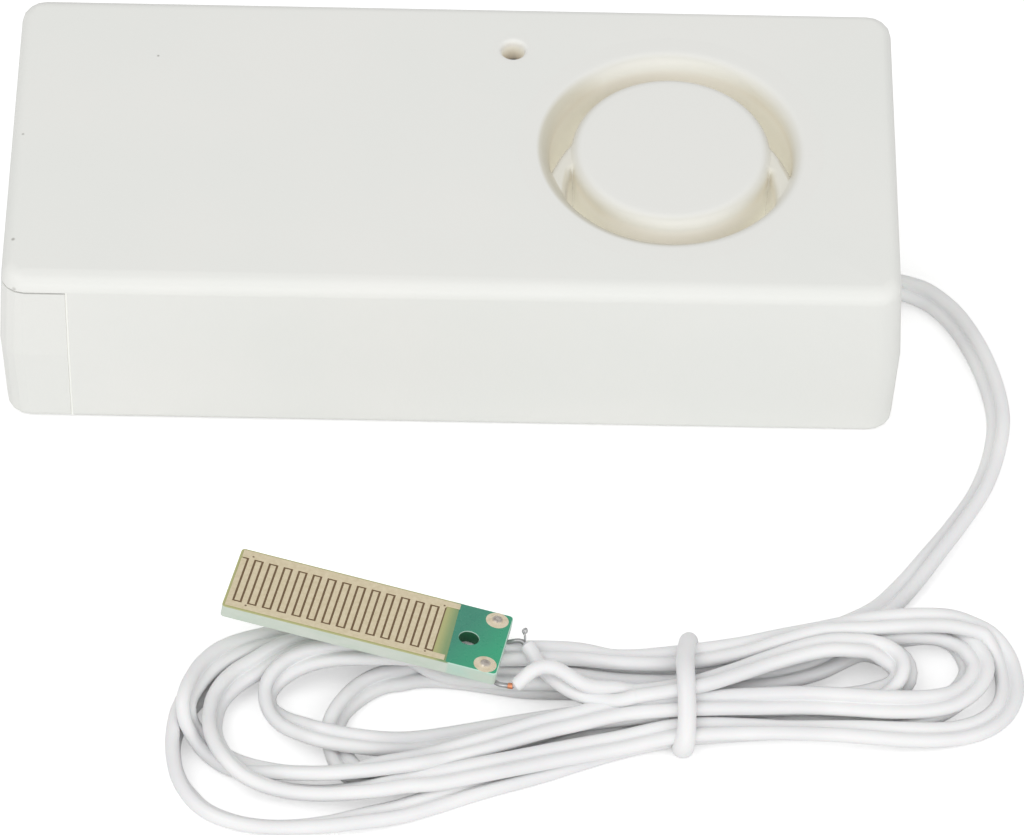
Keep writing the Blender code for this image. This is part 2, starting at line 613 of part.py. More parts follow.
def make_top_shell(shop, plastic):
    """The moulded shell: roof, walls, sound outlet, battery bay, posts and door ledges."""
    shell = housing_block("top_shell", shop.pieces, plastic)
    outside = LENGTH
    door_space = box("door_space", (-outside, -outside, -WALL), (DOOR_EDGE_X, outside, ROOF_UNDERSIDE),
                     shop.cutters)
    cut(shell, cavity_block(shop, "shell_cavity", -WALL, ROOF_UNDERSIDE), door_space)
    collar, groove = outlet_tools(shop)
    join(shell, collar)
    cut(shell, groove)
    ribs, window = bay_ribs(shop)
    join(shell, *ribs)
    cut(shell, window)
    root = HEIGHT - ROOF / 2
    for x in BOSS_XS:
        for side in (-1, 1):
            spot = (x, side * BOSS_Y)
            join(shell, rod(f"boss_{x:.3f}_{side}", BOSS_RADIUS, BASE_BOSS_TOP + CLEARANCE, root, spot,
                            shop.cutters))
            cut(shell, drill(f"pilot_{x:.3f}_{side}", SCREW_RADIUS + CLEARANCE, 0, BASE_BOSS_TOP + PILOT_DEPTH,
                             spot, shop.cutters))
    for index, spot in enumerate(BOARD_POSTS):
        join(shell, rod(f"post_{index}", POST_RADIUS, BOARD_TOP + CLEARANCE, root, spot, shop.cutters))
        cut(shell, drill(f"post_pilot_{index}", BOARD_SCREW_RADIUS + CLEARANCE, BOARD_Z,
                         BOARD_TOP + PILOT_DEPTH, spot, shop.cutters))
    low_x = DOOR_EDGE_X + CLEARANCE
    for side in (-1, 1):
        wall = side * (INNER_DEPTH / 2 + WALL / 4)
        inner = side * (INNER_DEPTH / 2 - TONGUE_THICKNESS - 2 * CLEARANCE)
        for level, low in enumerate((TONGUE_LOW - CLEARANCE - LEDGE, TONGUE_HIGH + CLEARANCE)):
            join(shell, box(f"ledge_{side}_{level}", (low_x, min(wall, inner), low),
                            (low_x + TONGUE_REACH, max(wall, inner), low + LEDGE), shop.cutters))
    flare = arc((LAMP_HOLE_RADIUS + LAMP_HOLE_ROUND, HEIGHT - LAMP_HOLE_ROUND), LAMP_HOLE_ROUND, 90, 180, 3)
    lamp_hole = turned("lamp_hole", [(0, HEIGHT + WALL), (LAMP_HOLE_RADIUS + LAMP_HOLE_ROUND, HEIGHT + WALL),
                                     *flare, (LAMP_HOLE_RADIUS, HEIGHT - 2 * ROOF), (0, HEIGHT - 2 * ROOF)],
                       shop.cutters, steps=24, place=(LAMP_X, LAMP_Y, 0))
    foot = -EXIT_Z - WALL
    arch_plan = [(EXIT_RADIUS, foot), *arc((0, 0), EXIT_RADIUS, 0, 180, 12), (-EXIT_RADIUS, foot)]
    arch = plate("cord_notch", arch_plan, -2 * WALL, 2 * WALL, shop.cutters)
    arch.location = (LENGTH / 2 - WALL / 2, EXIT_Y, EXIT_Z)
    arch.rotation_euler = (math.pi / 2, 0, math.pi / 2)
    cut(shell, lamp_hole, as_mesh(arch, shop.cutters))


def make_battery_door(shop, plastic):
    """The end cap: end wall, two sides and a floor, with a guide tongue on each side."""
    door = housing_block("battery_door", shop.pieces, plastic)
    outside = LENGTH
    keep = box("door_keep", (-outside, -outside, -WALL), (DOOR_EDGE_X - SEAM, outside, ROOF_UNDERSIDE - SEAM),
               shop.cutters)
    combine(door, "INTERSECT", keep)
    cut(door, cavity_block(shop, "door_cavity", DOOR_FLOOR, HEIGHT + WALL))
    for side in (-1, 1):
        outer = side * (INNER_DEPTH / 2 - CLEARANCE)
        inner = side * (INNER_DEPTH / 2 - CLEARANCE - TONGUE_THICKNESS)
        join(door, box(f"tongue_{side}", (-INNER_LENGTH / 2 - WALL / 2, min(inner, outer), TONGUE_LOW),
                       (DOOR_EDGE_X + TONGUE_REACH, max(inner, outer), TONGUE_HIGH), shop.cutters))
    for index in range(GRIP_GROOVES):
        x = DOOR_EDGE_X - SEAM - (index + 1) * GRIP_PITCH
        cut(door, box(f"grip_{index}", (x - GRIP_WIDTH / 2, -GRIP_LENGTH / 2, -WALL),
                      (x + GRIP_WIDTH / 2, GRIP_LENGTH / 2, GRIP_DEPTH), shop.cutters))


def make_base_cover(shop, plastic):
    """The plate that closes the underside, with its screw bosses and battery rails."""
    gap = CLEARANCE
    cover = box("base_cover", (DOOR_EDGE_X, -INNER_DEPTH / 2 + gap, 0),
                (INNER_LENGTH / 2 - gap, INNER_DEPTH / 2 - gap, BASE_THICKNESS), shop.pieces, plastic,
                corner=CAVITY_RADIUS)
    low_x = DOOR_EDGE_X + RIB
    for side in (-1, 1):
        rail = side * BATTERY_WIDTH / 3
        join(cover, box(f"rail_{side}", (low_x, rail - RIB / 2, BASE_THICKNESS / 2),
                        (BATTERY_FRONT_X, rail + RIB / 2, BATTERY_LIFT - CLEARANCE), shop.cutters))
    for x in BOSS_XS:
        for side in (-1, 1):
            spot = (x, side * BOSS_Y)
            join(cover, rod(f"base_boss_{x:.3f}_{side}", BOSS_RADIUS, BASE_THICKNESS / 2, BASE_BOSS_TOP, spot,
                            shop.cutters))
            cut(cover, rod(f"head_seat_{x:.3f}_{side}", SCREW_HEAD_RADIUS + CLEARANCE, -WALL,
                           SCREW_SINK + SCREW_HEAD + CLEARANCE, spot, shop.cutters))
            cut(cover, drill(f"base_hole_{x:.3f}_{side}", SCREW_RADIUS + CLEARANCE, -WALL,
                             BASE_BOSS_TOP + WALL, spot, shop.cutters))
    half_slot = CORD_RADIUS + STOP_WALL + 2 * CLEARANCE
    cut(cover, box("cord_slot", (STOP_X - 2 * STOP_WIDTH, EXIT_Y - half_slot, -WALL),
                   (LENGTH, EXIT_Y + half_slot, BASE_THICKNESS + WALL), shop.cutters))


def make_screw(shop, name, spot, underside, head_radius, head, radius, length, steel):
    """A pan screw that goes up from its head, with a cross recess."""
    screw = turned(name, [(0, head + length), (radius / 2, head + length), (radius, head + length - radius),
                          (radius, head), (head_radius, head), (head_radius, head / 3),
                          (head_radius * 0.8, 0), (0, 0)],
                   shop.pieces, steel, steps=16, place=(spot[0], spot[1], underside))
    half = head_radius * 0.6
    for axis in (0, 1):
        reach = [SCREW_SLOT / 2, SCREW_SLOT / 2]
        reach[axis] = half
        cut(screw, box(f"{name}_recess_{axis}",
                       (spot[0] - reach[0], spot[1] - reach[1], underside - head),
                       (spot[0] + reach[0], spot[1] + reach[1], underside + head / 2), shop.cutters))


def make_screws(shop, steel):
    """Four screws in the base cover and two under the circuit board."""
    spots = [(x, side * BOSS_Y) for x in BOSS_XS for side in (-1, 1)]
    for number, spot in enumerate(spots, 1):
        make_screw(shop, f"cover_screw_{number}", spot, SCREW_SINK, SCREW_HEAD_RADIUS, SCREW_HEAD,
                   SCREW_RADIUS, SCREW_LENGTH, steel)
    for number, spot in enumerate(BOARD_POSTS, 1):
        make_screw(shop, f"board_screw_{number}", spot, BOARD_Z - CLEARANCE - BOARD_SCREW_HEAD,
                   BOARD_SCREW_HEAD_RADIUS, BOARD_SCREW_HEAD, BOARD_SCREW_RADIUS, BOARD_SCREW_LENGTH, steel)


def make_battery(shop, jacket, steel, vinyl):
    """The nine-volt battery, its two terminals and the snap connector on them."""
    half = BATTERY_WIDTH / 2
    box("nine_volt_battery", (BATTERY_BACK_X, -half, BATTERY_LIFT),
        (BATTERY_FRONT_X, half, BATTERY_LIFT + BATTERY_HEIGHT), shop.pieces, jacket,
        corner=BATTERY_ROUND, corner_axis=0)
    root = BATTERY_FRONT_X + CLEARANCE
    tip = root + TERMINAL_HEIGHT
    along = (0, math.pi / 2, 0)
    waist = 0.85
    lip = TERMINAL_HEIGHT / 3
    for name, radius, side in (("battery_terminal_positive", POSITIVE_RADIUS, 1),
                               ("battery_terminal_negative", NEGATIVE_RADIUS, -1)):
        turned(name, [(0, TERMINAL_HEIGHT), (radius * waist, TERMINAL_HEIGHT), (radius, TERMINAL_HEIGHT - lip),
                      (radius * waist, lip), (radius * waist, 0), (0, 0)],
               shop.pieces, steel, steps=20, place=(root, side * TERMINAL_Y, BATTERY_Z), turn=along)
    snap = box("snap_connector", (root + CLEARANCE / 2, -SNAP_LENGTH / 2, BATTERY_Z - SNAP_WIDTH / 2),
               (root + SNAP_THICKNESS, SNAP_LENGTH / 2, BATTERY_Z + SNAP_WIDTH / 2), shop.pieces, vinyl,
               corner=SNAP_WIDTH / 3, corner_axis=0)
    for name, radius, side in (("snap_socket_positive", POSITIVE_RADIUS, 1),
                               ("snap_socket_negative", NEGATIVE_RADIUS, -1)):
        depth = tip + CLEARANCE - root
        bore = radius + CLEARANCE
        cut(snap, turned(name, [(0, depth), (bore, depth), (bore, -WALL), (0, -WALL)], shop.cutters,
                         steps=20, place=(root, side * TERMINAL_Y, BATTERY_Z), turn=along))


def make_leads(shop, red, black, white):
    """The battery leads, the sounder's leads and the cord's two cores inside the housing."""
    for name, side, vinyl in (("battery_lead_red", 1, red), ("battery_lead_black", -1, black)):
        points = risen(BATTERY_LEAD_ROUTE, (BAY_END_X, 0, BOARD_TOP), BATTERY_Z, side)
        tube(name, route(points), LEAD_RADIUS, shop.pieces, vinyl)
    for name, lead, vinyl in (("sounder_lead_red", PLATE_LEAD_ROUTE, red),
                              ("sounder_lead_black", CERAMIC_LEAD_ROUTE, black)):
        points = risen(lead, (OUTLET_X, OUTLET_Y, BOARD_TOP), PIEZO_BOTTOM, unit=PIEZO_RADIUS)
        tube(name, route(points), PIEZO_LEAD_RADIUS, shop.pieces, vinyl)
    for name, side in (("cord_core_far", 1), ("cord_core_near", -1)):
        points = risen(CORE_ROUTE, (LENGTH / 2, EXIT_Y, EXIT_Z), PART_CEILING, side)
        tube(name, route(points), CORE_RADIUS, shop.pieces, white)


def make_circuit_board(shop, laminate):
    """The alarm's board, with a clearance hole at each post."""
    board = box("circuit_board", (BOARD_LOW_X, -BOARD_HALF_DEPTH, BOARD_Z),
                (BOARD_HIGH_X, BOARD_HALF_DEPTH, BOARD_TOP), shop.pieces, laminate)
    for index, spot in enumerate(BOARD_POSTS):
        cut(board, drill(f"board_hole_{index}", BOARD_SCREW_RADIUS + CLEARANCE, BOARD_Z - WALL,
                         BOARD_TOP + WALL, spot, shop.cutters))


def make_chip(shop, epoxy):
    """An eight-legged control chip."""
    x, y = on_board(CHIP_PLACE)
    low = PART_FOOT + CHIP_LIFT
    middle = low + CHIP_HEIGHT / 2
    chip = box("control_chip", (x - CHIP_HALF_LONG, y - CHIP_HALF_WIDE, low),
               (x + CHIP_HALF_LONG, y + CHIP_HALF_WIDE, low + CHIP_HEIGHT), shop.pieces, epoxy)
    for column in range(4):
        leg_x = x + (column - 1.5) * CHIP_LEG_PITCH
        for side in (-1, 1):
            tip, root = y + side * (CHIP_HALF_WIDE + CHIP_LEG_REACH), y + side * (CHIP_HALF_WIDE - CHIP_LEG)
            join(chip, box(f"chip_leg_{column}_{side}", (leg_x - CHIP_LEG / 2, min(tip, root), PART_FOOT),
                           (leg_x + CHIP_LEG / 2, max(tip, root), middle), shop.cutters))


def make_transistor(shop, epoxy):
    """The driver transistor: a round body with one flat side, on three legs."""
    x = BOARD_LOW_X + PART_END_GAP + TRANSISTOR_RADIUS
    y = TRANSISTOR_PLACE * BOARD_HALF_DEPTH
    radius, height = TRANSISTOR_RADIUS, TRANSISTOR_HEIGHT
    low = PART_FOOT + TRANSISTOR_LEG_HEIGHT
    flat = radius * 0.55
    body = turned("transistor", [(0, height), (radius, height), (radius, 0), (0, 0)], shop.pieces, epoxy,
                  steps=20, place=(x, y, low))
    cut(body, box("transistor_flat", (x + flat, y - 2 * radius, low - height),
                  (x + 2 * radius, y + 2 * radius, low + 2 * height), shop.cutters))
    half = TRANSISTOR_LEG / 2
    for index in (-1, 0, 1):
        spot = y + index * LEG_PITCH
        join(body, box(f"transistor_leg_{index}", (x - half, spot - half, PART_FOOT),
                       (x + half, spot + half, low + height / 2), shop.cutters))


def make_coil(shop, ferrite, copper):
    """The step-up coil: a drum core and the winding between its flanges."""
    flange, neck, height, lip = COIL_FLANGE, COIL_NECK, COIL_HEIGHT, COIL_LIP
    place = (BOARD_HIGH_X - COIL_EDGE_GAP - flange, -BOARD_HALF_DEPTH + COIL_SIDE_GAP + flange, PART_FOOT)
    drum = [(0, height), (flange, height), (flange, height - lip), (neck, height - lip), (neck, lip),
            (flange, lip), (flange, 0), (0, 0)]
    turned("coil_core", drum, shop.pieces, ferrite, steps=24, place=place)
    inner, outer = neck + CLEARANCE, flange - CLEARANCE
    low, high = lip + CLEARANCE, height - lip - CLEARANCE
    turned("coil_winding", [(outer, high), (outer, low), (inner, low), (inner, high)], shop.pieces, copper,
           steps=24, place=place, ring=True)


def make_capacitor(shop, sleeve):
    """An electrolytic capacitor that lies on the board."""
    radius, length, crimp = CAPACITOR_RADIUS, CAPACITOR_LENGTH, CAPACITOR_CRIMP
    neck = length - CAPACITOR_NECK
    can = [(0, length), (radius - crimp, length), (radius, length - crimp), (radius, neck + crimp),
           (radius - crimp, neck), (radius, neck - crimp), (radius, crimp), (radius - crimp, 0), (0, 0)]
    place = (*on_board(CAPACITOR_PLACE), PART_FOOT + radius)
    turned("capacitor", can, shop.pieces, sleeve, steps=20, place=place, turn=(-math.pi / 2, 0, 0))


def make_resistor(shop, number, place, ceramic):
    """A resistor that lies along Y, its two leads bent down to the board."""
    radius, length, lead = RESISTOR_RADIUS, RESISTOR_LENGTH, RESISTOR_LEAD
    x, y = place
    height = PART_FOOT + radius
    neck = radius * 0.8
    bobbin = [(0, length), (neck, length), (radius, length * 0.92), (radius, length * 0.75),
              (neck, length * 0.68), (neck, length * 0.32), (radius, length * 0.25),
              (radius, length * 0.08), (neck, 0), (0, 0)]
    body = turned(f"resistor_{number}", bobbin, shop.pieces, ceramic, steps=16,
                  place=(x, y - length / 2, height), turn=(-math.pi / 2, 0, 0))
    span = length / 2 + RESISTOR_REACH
    bend = lead * 2
    points = [(x, y - span, PART_FOOT), (x, y - span, height - bend), (x, y - span + bend, height),
              (x, y + span - bend, height), (x, y + span, height - bend), (x, y + span, PART_FOOT)]
    join(body, as_mesh(tube(f"resistor_lead_{number}", points, lead, shop.cutters), shop.cutters))


def make_lamp(shop, tinted):
    """The indicator lamp under its hole: a domed lens with a flange, on two long legs."""
    top = ROOF_UNDERSIDE - 2 * CLEARANCE
    low = top - LAMP_HEIGHT
    dome = arc((0, top - LAMP_RADIUS), LAMP_RADIUS, 90, 0, 5)
    flange = LAMP_RADIUS + LAMP_FLANGE
    lens = [*dome, (LAMP_RADIUS, low + 2 * LAMP_FLANGE), (flange, low + 2 * LAMP_FLANGE), (flange, low),
            (0, low)]
    lamp = turned("status_lamp", lens, shop.pieces, tinted, steps=24, place=(LAMP_X, LAMP_Y, 0))
    for side in (-1, 1):
        x = LAMP_X + side * LAMP_LEG_X
        join(lamp, box(f"lamp_leg_{side}", (x - LAMP_LEG / 2, LAMP_Y - LAMP_LEG / 2, PART_FOOT),
                       (x + LAMP_LEG / 2, LAMP_Y + LAMP_LEG / 2, low + LAMP_LEG), shop.cutters))


def make_sounder(shop, brass, plastic):
    """The piezo disc under the collar and the ring that holds it there."""
    middle = (OUTLET_X, OUTLET_Y, 0)
    turned("piezo_disc", [(0, PIEZO_TOP), (PIEZO_RADIUS, PIEZO_TOP), (PIEZO_RADIUS, PIEZO_BOTTOM),
                          (CERAMIC_RADIUS, PIEZO_BOTTOM), (CERAMIC_RADIUS, PIEZO_BOTTOM - CERAMIC),
                          (0, PIEZO_BOTTOM - CERAMIC)],
           shop.pieces, brass, steps=40, place=middle)
    bore = COLLAR_OUTER + CLEARANCE
    outer = bore + RETAINER_WALL
    low = FLANGE_TOP - RETAINER_FLANGE
    high = low + RETAINER_HEIGHT
    section = [(outer, high), (outer, low), (RETAINER_OPENING, low), (RETAINER_OPENING, FLANGE_TOP),
               (bore, FLANGE_TOP), (bore, high)]
    turned("piezo_retainer", section, shop.pieces, plastic, steps=40, place=middle, ring=True)


def make_cord(shop, white):
    """The cord: its tail in the exit, the stop on it, the free loop, the hank and the tie."""
    exit_place, hank_place = (LENGTH / 2, EXIT_Y, EXIT_Z), (0, HANK_Y, 0)
    tail = route(moved(TAIL_ROUTE, exit_place))
    tube("cord_tail", tail, CORD_RADIUS, shop.pieces, white)
    near_stop = min(range(1, len(tail) - 1), key=lambda i: abs(tail[i].x - STOP_X))
    along = tail[near_stop + 1] - tail[near_stop - 1]
    centre = tail[near_stop]
    inner, outer, half = CORD_RADIUS + CLEARANCE, CORD_RADIUS + CLEARANCE + STOP_WALL, STOP_WIDTH / 2
    stop = turned("cord_stop", [(outer, half), (outer, -half), (inner, -half), (inner, half)], shop.pieces,
                  white, steps=24, place=centre, turn=along.to_track_quat("Z", "Y").to_euler(), ring=True)
    head = STOP_WIDTH / 2
    join(stop, box("stop_head", (centre.x - head, centre.y - head, centre.z + inner + STOP_WALL / 3),
                   (centre.x + head, centre.y + head, centre.z + outer + STOP_WALL), shop.cutters))
    points = [*moved(CORD_START_ROUTE, exit_place), *moved(CORD_END_ROUTE, hank_place)]
    tube("sensor_cord", route(points, per_span=3), CORD_RADIUS, shop.pieces, white)
    outline = [(p.x, p.y) for p in closed_route(moved(HANK_OUTLINE, hank_place))]
    hank = as_mesh(plate("cord_hank", outline, HANK_BOTTOM, HANK_TOP, shop.pieces), shop.pieces)
    hank.data.materials.append(white)
    groove = TIE_RADIUS * 2 + 2 * CLEARANCE
    half_groove = groove / 2 + TIE_LEAN / 2
    cut(hank, box("tie_groove", (TIE_X - half_groove, 2 * TIE_LOW_Y, -WALL), (TIE_X + half_groove, 0, groove),
                  shop.cutters))
    tube("hank_tie", tie_loop(), TIE_RADIUS, shop.pieces, white, closed=True)


def closed_route(points, per_span=3):
    """A smooth closed outline through plan points, given in millimetres."""
    anchors = [Vector((x, y, 0.0)) * MM for x, y in points]
    count = len(anchors)
    smooth = []
    for i in range(count):
        a, b, c, d = (anchors[(i + k) % count] for k in (-1, 0, 1, 2))
        for step in range(per_span):
            t = step / per_span
            smooth.append(0.5 * (2 * b + (c - a) * t + (2 * a - 5 * b + 4 * c - d) * t ** 2
                                 + (3 * b - a - 3 * c + d) * t ** 3))
    return smooth


def tie_loop():
    """The middle line of the band round the hank's waist, its corners rounded."""
    reach = TIE_RADIUS + CLEARANCE
    low, high = TIE_RADIUS + CLEARANCE / 3, HANK_TOP + reach
    front, back = TIE_LOW_Y - reach, TIE_HIGH_Y + reach
    near_y, far_y = front + TIE_CORNER, back - TIE_CORNER
    near_z, far_z = low + TIE_CORNER, high - TIE_CORNER
    quarter = math.pi / 2
    loop = []
    for index, (y, z) in enumerate(((far_y, far_z), (near_y, far_z), (near_y, near_z), (far_y, near_z))):
        for step in range(4):
            turn = quarter * (index + step / 3)
            point_y = y + TIE_CORNER * math.cos(turn)
            share = (point_y - front) / (back - front)
            loop.append(Vector((TIE_X + TIE_LEAN * (share - 0.5), point_y, z + TIE_CORNER * math.sin(turn))))
    return loop


def comb_outline(fingers_up):
    """One of the probe's two combs: a bus along one edge and its fingers, as a closed outline."""
    finger = COMB_PITCH / 2 - COMB_GAP
    far = PROBE_WIDTH / 2 - COMB_MARGIN
    near = -far
    far_line, near_line = far - FAR_BUS, near + NEAR_BUS
    step = 0.0 if fingers_up else COMB_PITCH / 2
    bus_edge, bus_line = (near, near_line) if fingers_up else (far, far_line)
    tip = far_line - COMB_GAP if fingers_up else near_line + COMB_GAP
    end = COMB_START + COMB_FINGERS * COMB_PITCH - COMB_GAP
    tab_line = bus_line + math.copysign(COMB_TAB_INSET, bus_edge)
    outline = [(COMB_START, bus_edge), (COMB_TAB_END, bus_edge), (COMB_TAB_END, tab_line), (end, tab_line)]
    for index in reversed(range(COMB_FINGERS)):
        left = COMB_START + step + index * COMB_PITCH
        right = left + finger
        outline += [(right, bus_line), (right, tip), (left, tip), (left, bus_line)]
    if not fingers_up:
        outline.append((COMB_START, bus_line))
    return clean(outline)


def clean(outline):
    """An outline without points that repeat or lie on a straight stretch."""
    kept = []
    count = len(outline)
    for i, point in enumerate(outline):
        before, after = outline[i - 1], outline[(i + 1) % count]
        area = ((point[0] - before[0]) * (after[1] - before[1])
                - (point[1] - before[1]) * (after[0] - before[0]))
        if abs(area) > FOIL_GAP ** 2 / 100:
            kept.append(point)
    return kept


def make_probe(shop, laminate, foil, solder, white, copper):
    """The probe board with its two combs, soldered pads, and the two wires that reach it."""
    frame = bpy.data.objects.new("probe_frame", None)
    shop.pieces.objects.link(frame)
    frame.location = PROBE_PLACE
    frame.rotation_euler = PROBE_TURN
    half_long, half_wide = PROBE_LENGTH / 2, PROBE_WIDTH / 2
    board = box("probe_board", (-half_long, -half_wide, -PROBE_THICKNESS), (half_long, half_wide, 0),
                shop.pieces, laminate, corner=PROBE_CORNER)
    tools = [rod("probe_hole", PROBE_HOLE_RADIUS, -2 * PROBE_THICKNESS, PROBE_THICKNESS, (PROBE_HOLE_X, 0),
                 shop.cutters)]
    on_frame = [board]
    for name, side in (("solder_pad_far", 1), ("solder_pad_near", -1)):
        spot = (PAD_X, side * PAD_Y)
        tools.append(drill(f"{name}_hole", PAD_SHAFT_RADIUS + CLEARANCE, -2 * PROBE_THICKNESS, PROBE_THICKNESS,
                           spot, shop.cutters))
        low = FOIL_GAP
        tail = -PROBE_THICKNESS - CLEARANCE
        dome_edge = PAD_SHAFT_RADIUS * 1.6
        on_frame.append(turned(name, [(0, low + PAD_DOME), (dome_edge / 2, low + PAD_DOME * 0.85),
                                      (dome_edge, low + FOIL), (PAD_RADIUS, low + FOIL), (PAD_RADIUS, low),
                                      (PAD_SHAFT_RADIUS, low), (PAD_SHAFT_RADIUS, tail), (0, tail)],
                               shop.pieces, solder, steps=24, place=(*spot, 0)))
    cut(board, *tools)
    for name, fingers_up in (("comb_near", True), ("comb_far", False)):
        comb = plate(name, comb_outline(fingers_up), FOIL_GAP, FOIL_GAP + FOIL, shop.pieces, foil)
        on_frame.append(comb)
    for thing in (*on_frame, *tools):
        thing.parent = frame
    placed = Matrix.Translation(PROBE_PLACE) @ Euler(PROBE_TURN).to_matrix().to_4x4()
    for label, points, side in (("near", NEAR_WIRE_ROUTE, -1), ("far", FAR_WIRE_ROUTE, 1)):
        wire = route(moved(points, (0, HANK_Y, 0)))
        tube(f"probe_wire_{label}", wire, CORE_RADIUS, shop.pieces, white)
        end, before = wire[-1], wire[-2]
        start = end + (end - before).normalized() * CLEARANCE
        below = -PROBE_THICKNESS - CLEARANCE
        joint = placed @ Vector((PAD_X, side * PAD_Y, below - CLEARANCE - WIRE_RADIUS))
        edge = placed @ Vector((half_long + CLEARANCE, side * PAD_Y, below - CLEARANCE - WIRE_RADIUS))
        points = [tuple(p / MM) for p in (start, (start + edge) / 2, edge, joint)]
        tube(f"bare_wire_{label}", route(points, per_span=3), WIRE_RADIUS, shop.pieces, copper)


def main():
    """Build every piece."""
    clear_scene()
    shop = Workshop()
    plastic = finish("white_plastic", (0.78, 0.78, 0.75), 0.42)
    steel = finish("plated_steel", (0.62, 0.62, 0.60), 0.30, 1.0)
    jacket = finish("battery_jacket", (0.05, 0.05, 0.06), 0.35)
    vinyl = finish("black_vinyl", (0.03, 0.03, 0.03), 0.45)
    red = finish("red_vinyl", (0.55, 0.03, 0.02), 0.45)
    white = finish("white_vinyl", (0.70, 0.70, 0.69), 0.40)
    laminate = finish("green_laminate", (0.07, 0.27, 0.18), 0.40)
    epoxy = finish("black_epoxy", (0.03, 0.03, 0.03), 0.50)
    ferrite = finish("ferrite", (0.08, 0.08, 0.08), 0.60)
    copper = finish("tinned_copper", (0.75, 0.70, 0.62), 0.35, 1.0)
    brass = finish("brass", (0.78, 0.62, 0.28), 0.30, 1.0)
    sleeve = finish("capacitor_sleeve", (0.04, 0.06, 0.16), 0.40)
    ceramic = finish("resistor_body", (0.62, 0.50, 0.32), 0.50)
    tinted = finish("red_lens", (0.60, 0.05, 0.04), 0.15)
    foil = finish("comb_foil", (0.67, 0.55, 0.34), 0.35, 1.0)
    solder = finish("solder", (0.70, 0.68, 0.62), 0.35, 1.0)

    make_top_shell(shop, plastic)
    make_battery_door(shop, plastic)
    make_base_cover(shop, plastic)
    make_screws(shop, steel)
    make_battery(shop, jacket, steel, vinyl)
    make_leads(shop, red, vinyl, white)
    make_circuit_board(shop, laminate)
    make_chip(shop, epoxy)
    make_transistor(shop, epoxy)
    make_coil(shop, ferrite, copper)
    make_capacitor(shop, sleeve)
    for number, place in enumerate(RESISTOR_PLACES, 1):
        make_resistor(shop, number, on_board(place), ceramic)
    make_lamp(shop, tinted)
    make_sounder(shop, brass, plastic)
    make_cord(shop, white)
    make_probe(shop, laminate, foil, solder, white, copper)


main()
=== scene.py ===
"""Looks of the water leak alarm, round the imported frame: housing, twin cord in a tied hank, probe board."""

import logging
import math
from dataclasses import dataclass, field
from enum import Enum
from typing import Iterable, Optional, Protocol, Sequence, Union

import bmesh
import bpy
import numpy as np
from mathutils import Euler, Matrix, Vector


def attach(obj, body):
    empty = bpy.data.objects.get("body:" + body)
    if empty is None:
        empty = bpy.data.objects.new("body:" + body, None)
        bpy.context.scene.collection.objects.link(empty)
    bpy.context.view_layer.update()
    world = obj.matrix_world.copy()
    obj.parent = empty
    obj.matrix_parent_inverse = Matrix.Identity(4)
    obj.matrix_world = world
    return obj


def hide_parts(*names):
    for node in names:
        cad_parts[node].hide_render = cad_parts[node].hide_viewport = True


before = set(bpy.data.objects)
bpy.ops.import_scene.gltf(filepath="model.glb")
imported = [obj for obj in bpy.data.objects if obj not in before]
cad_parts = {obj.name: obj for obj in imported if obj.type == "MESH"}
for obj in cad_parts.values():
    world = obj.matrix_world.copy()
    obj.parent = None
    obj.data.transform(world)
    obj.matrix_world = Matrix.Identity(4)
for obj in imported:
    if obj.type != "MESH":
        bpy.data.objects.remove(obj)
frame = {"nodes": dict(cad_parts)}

LOG = logging.getLogger("leak_alarm")
MM = 0.001
HOUSING = "housing"
HOUSING_CREASE = 28.0

Pair = tuple[float, float]
Colour = tuple[float, float, float]
Point = tuple[float, float, float]
RoutePoint = tuple[float, float, float, float]
Socket = bpy.types.NodeSocket
Value = Union[Socket, float, Colour]

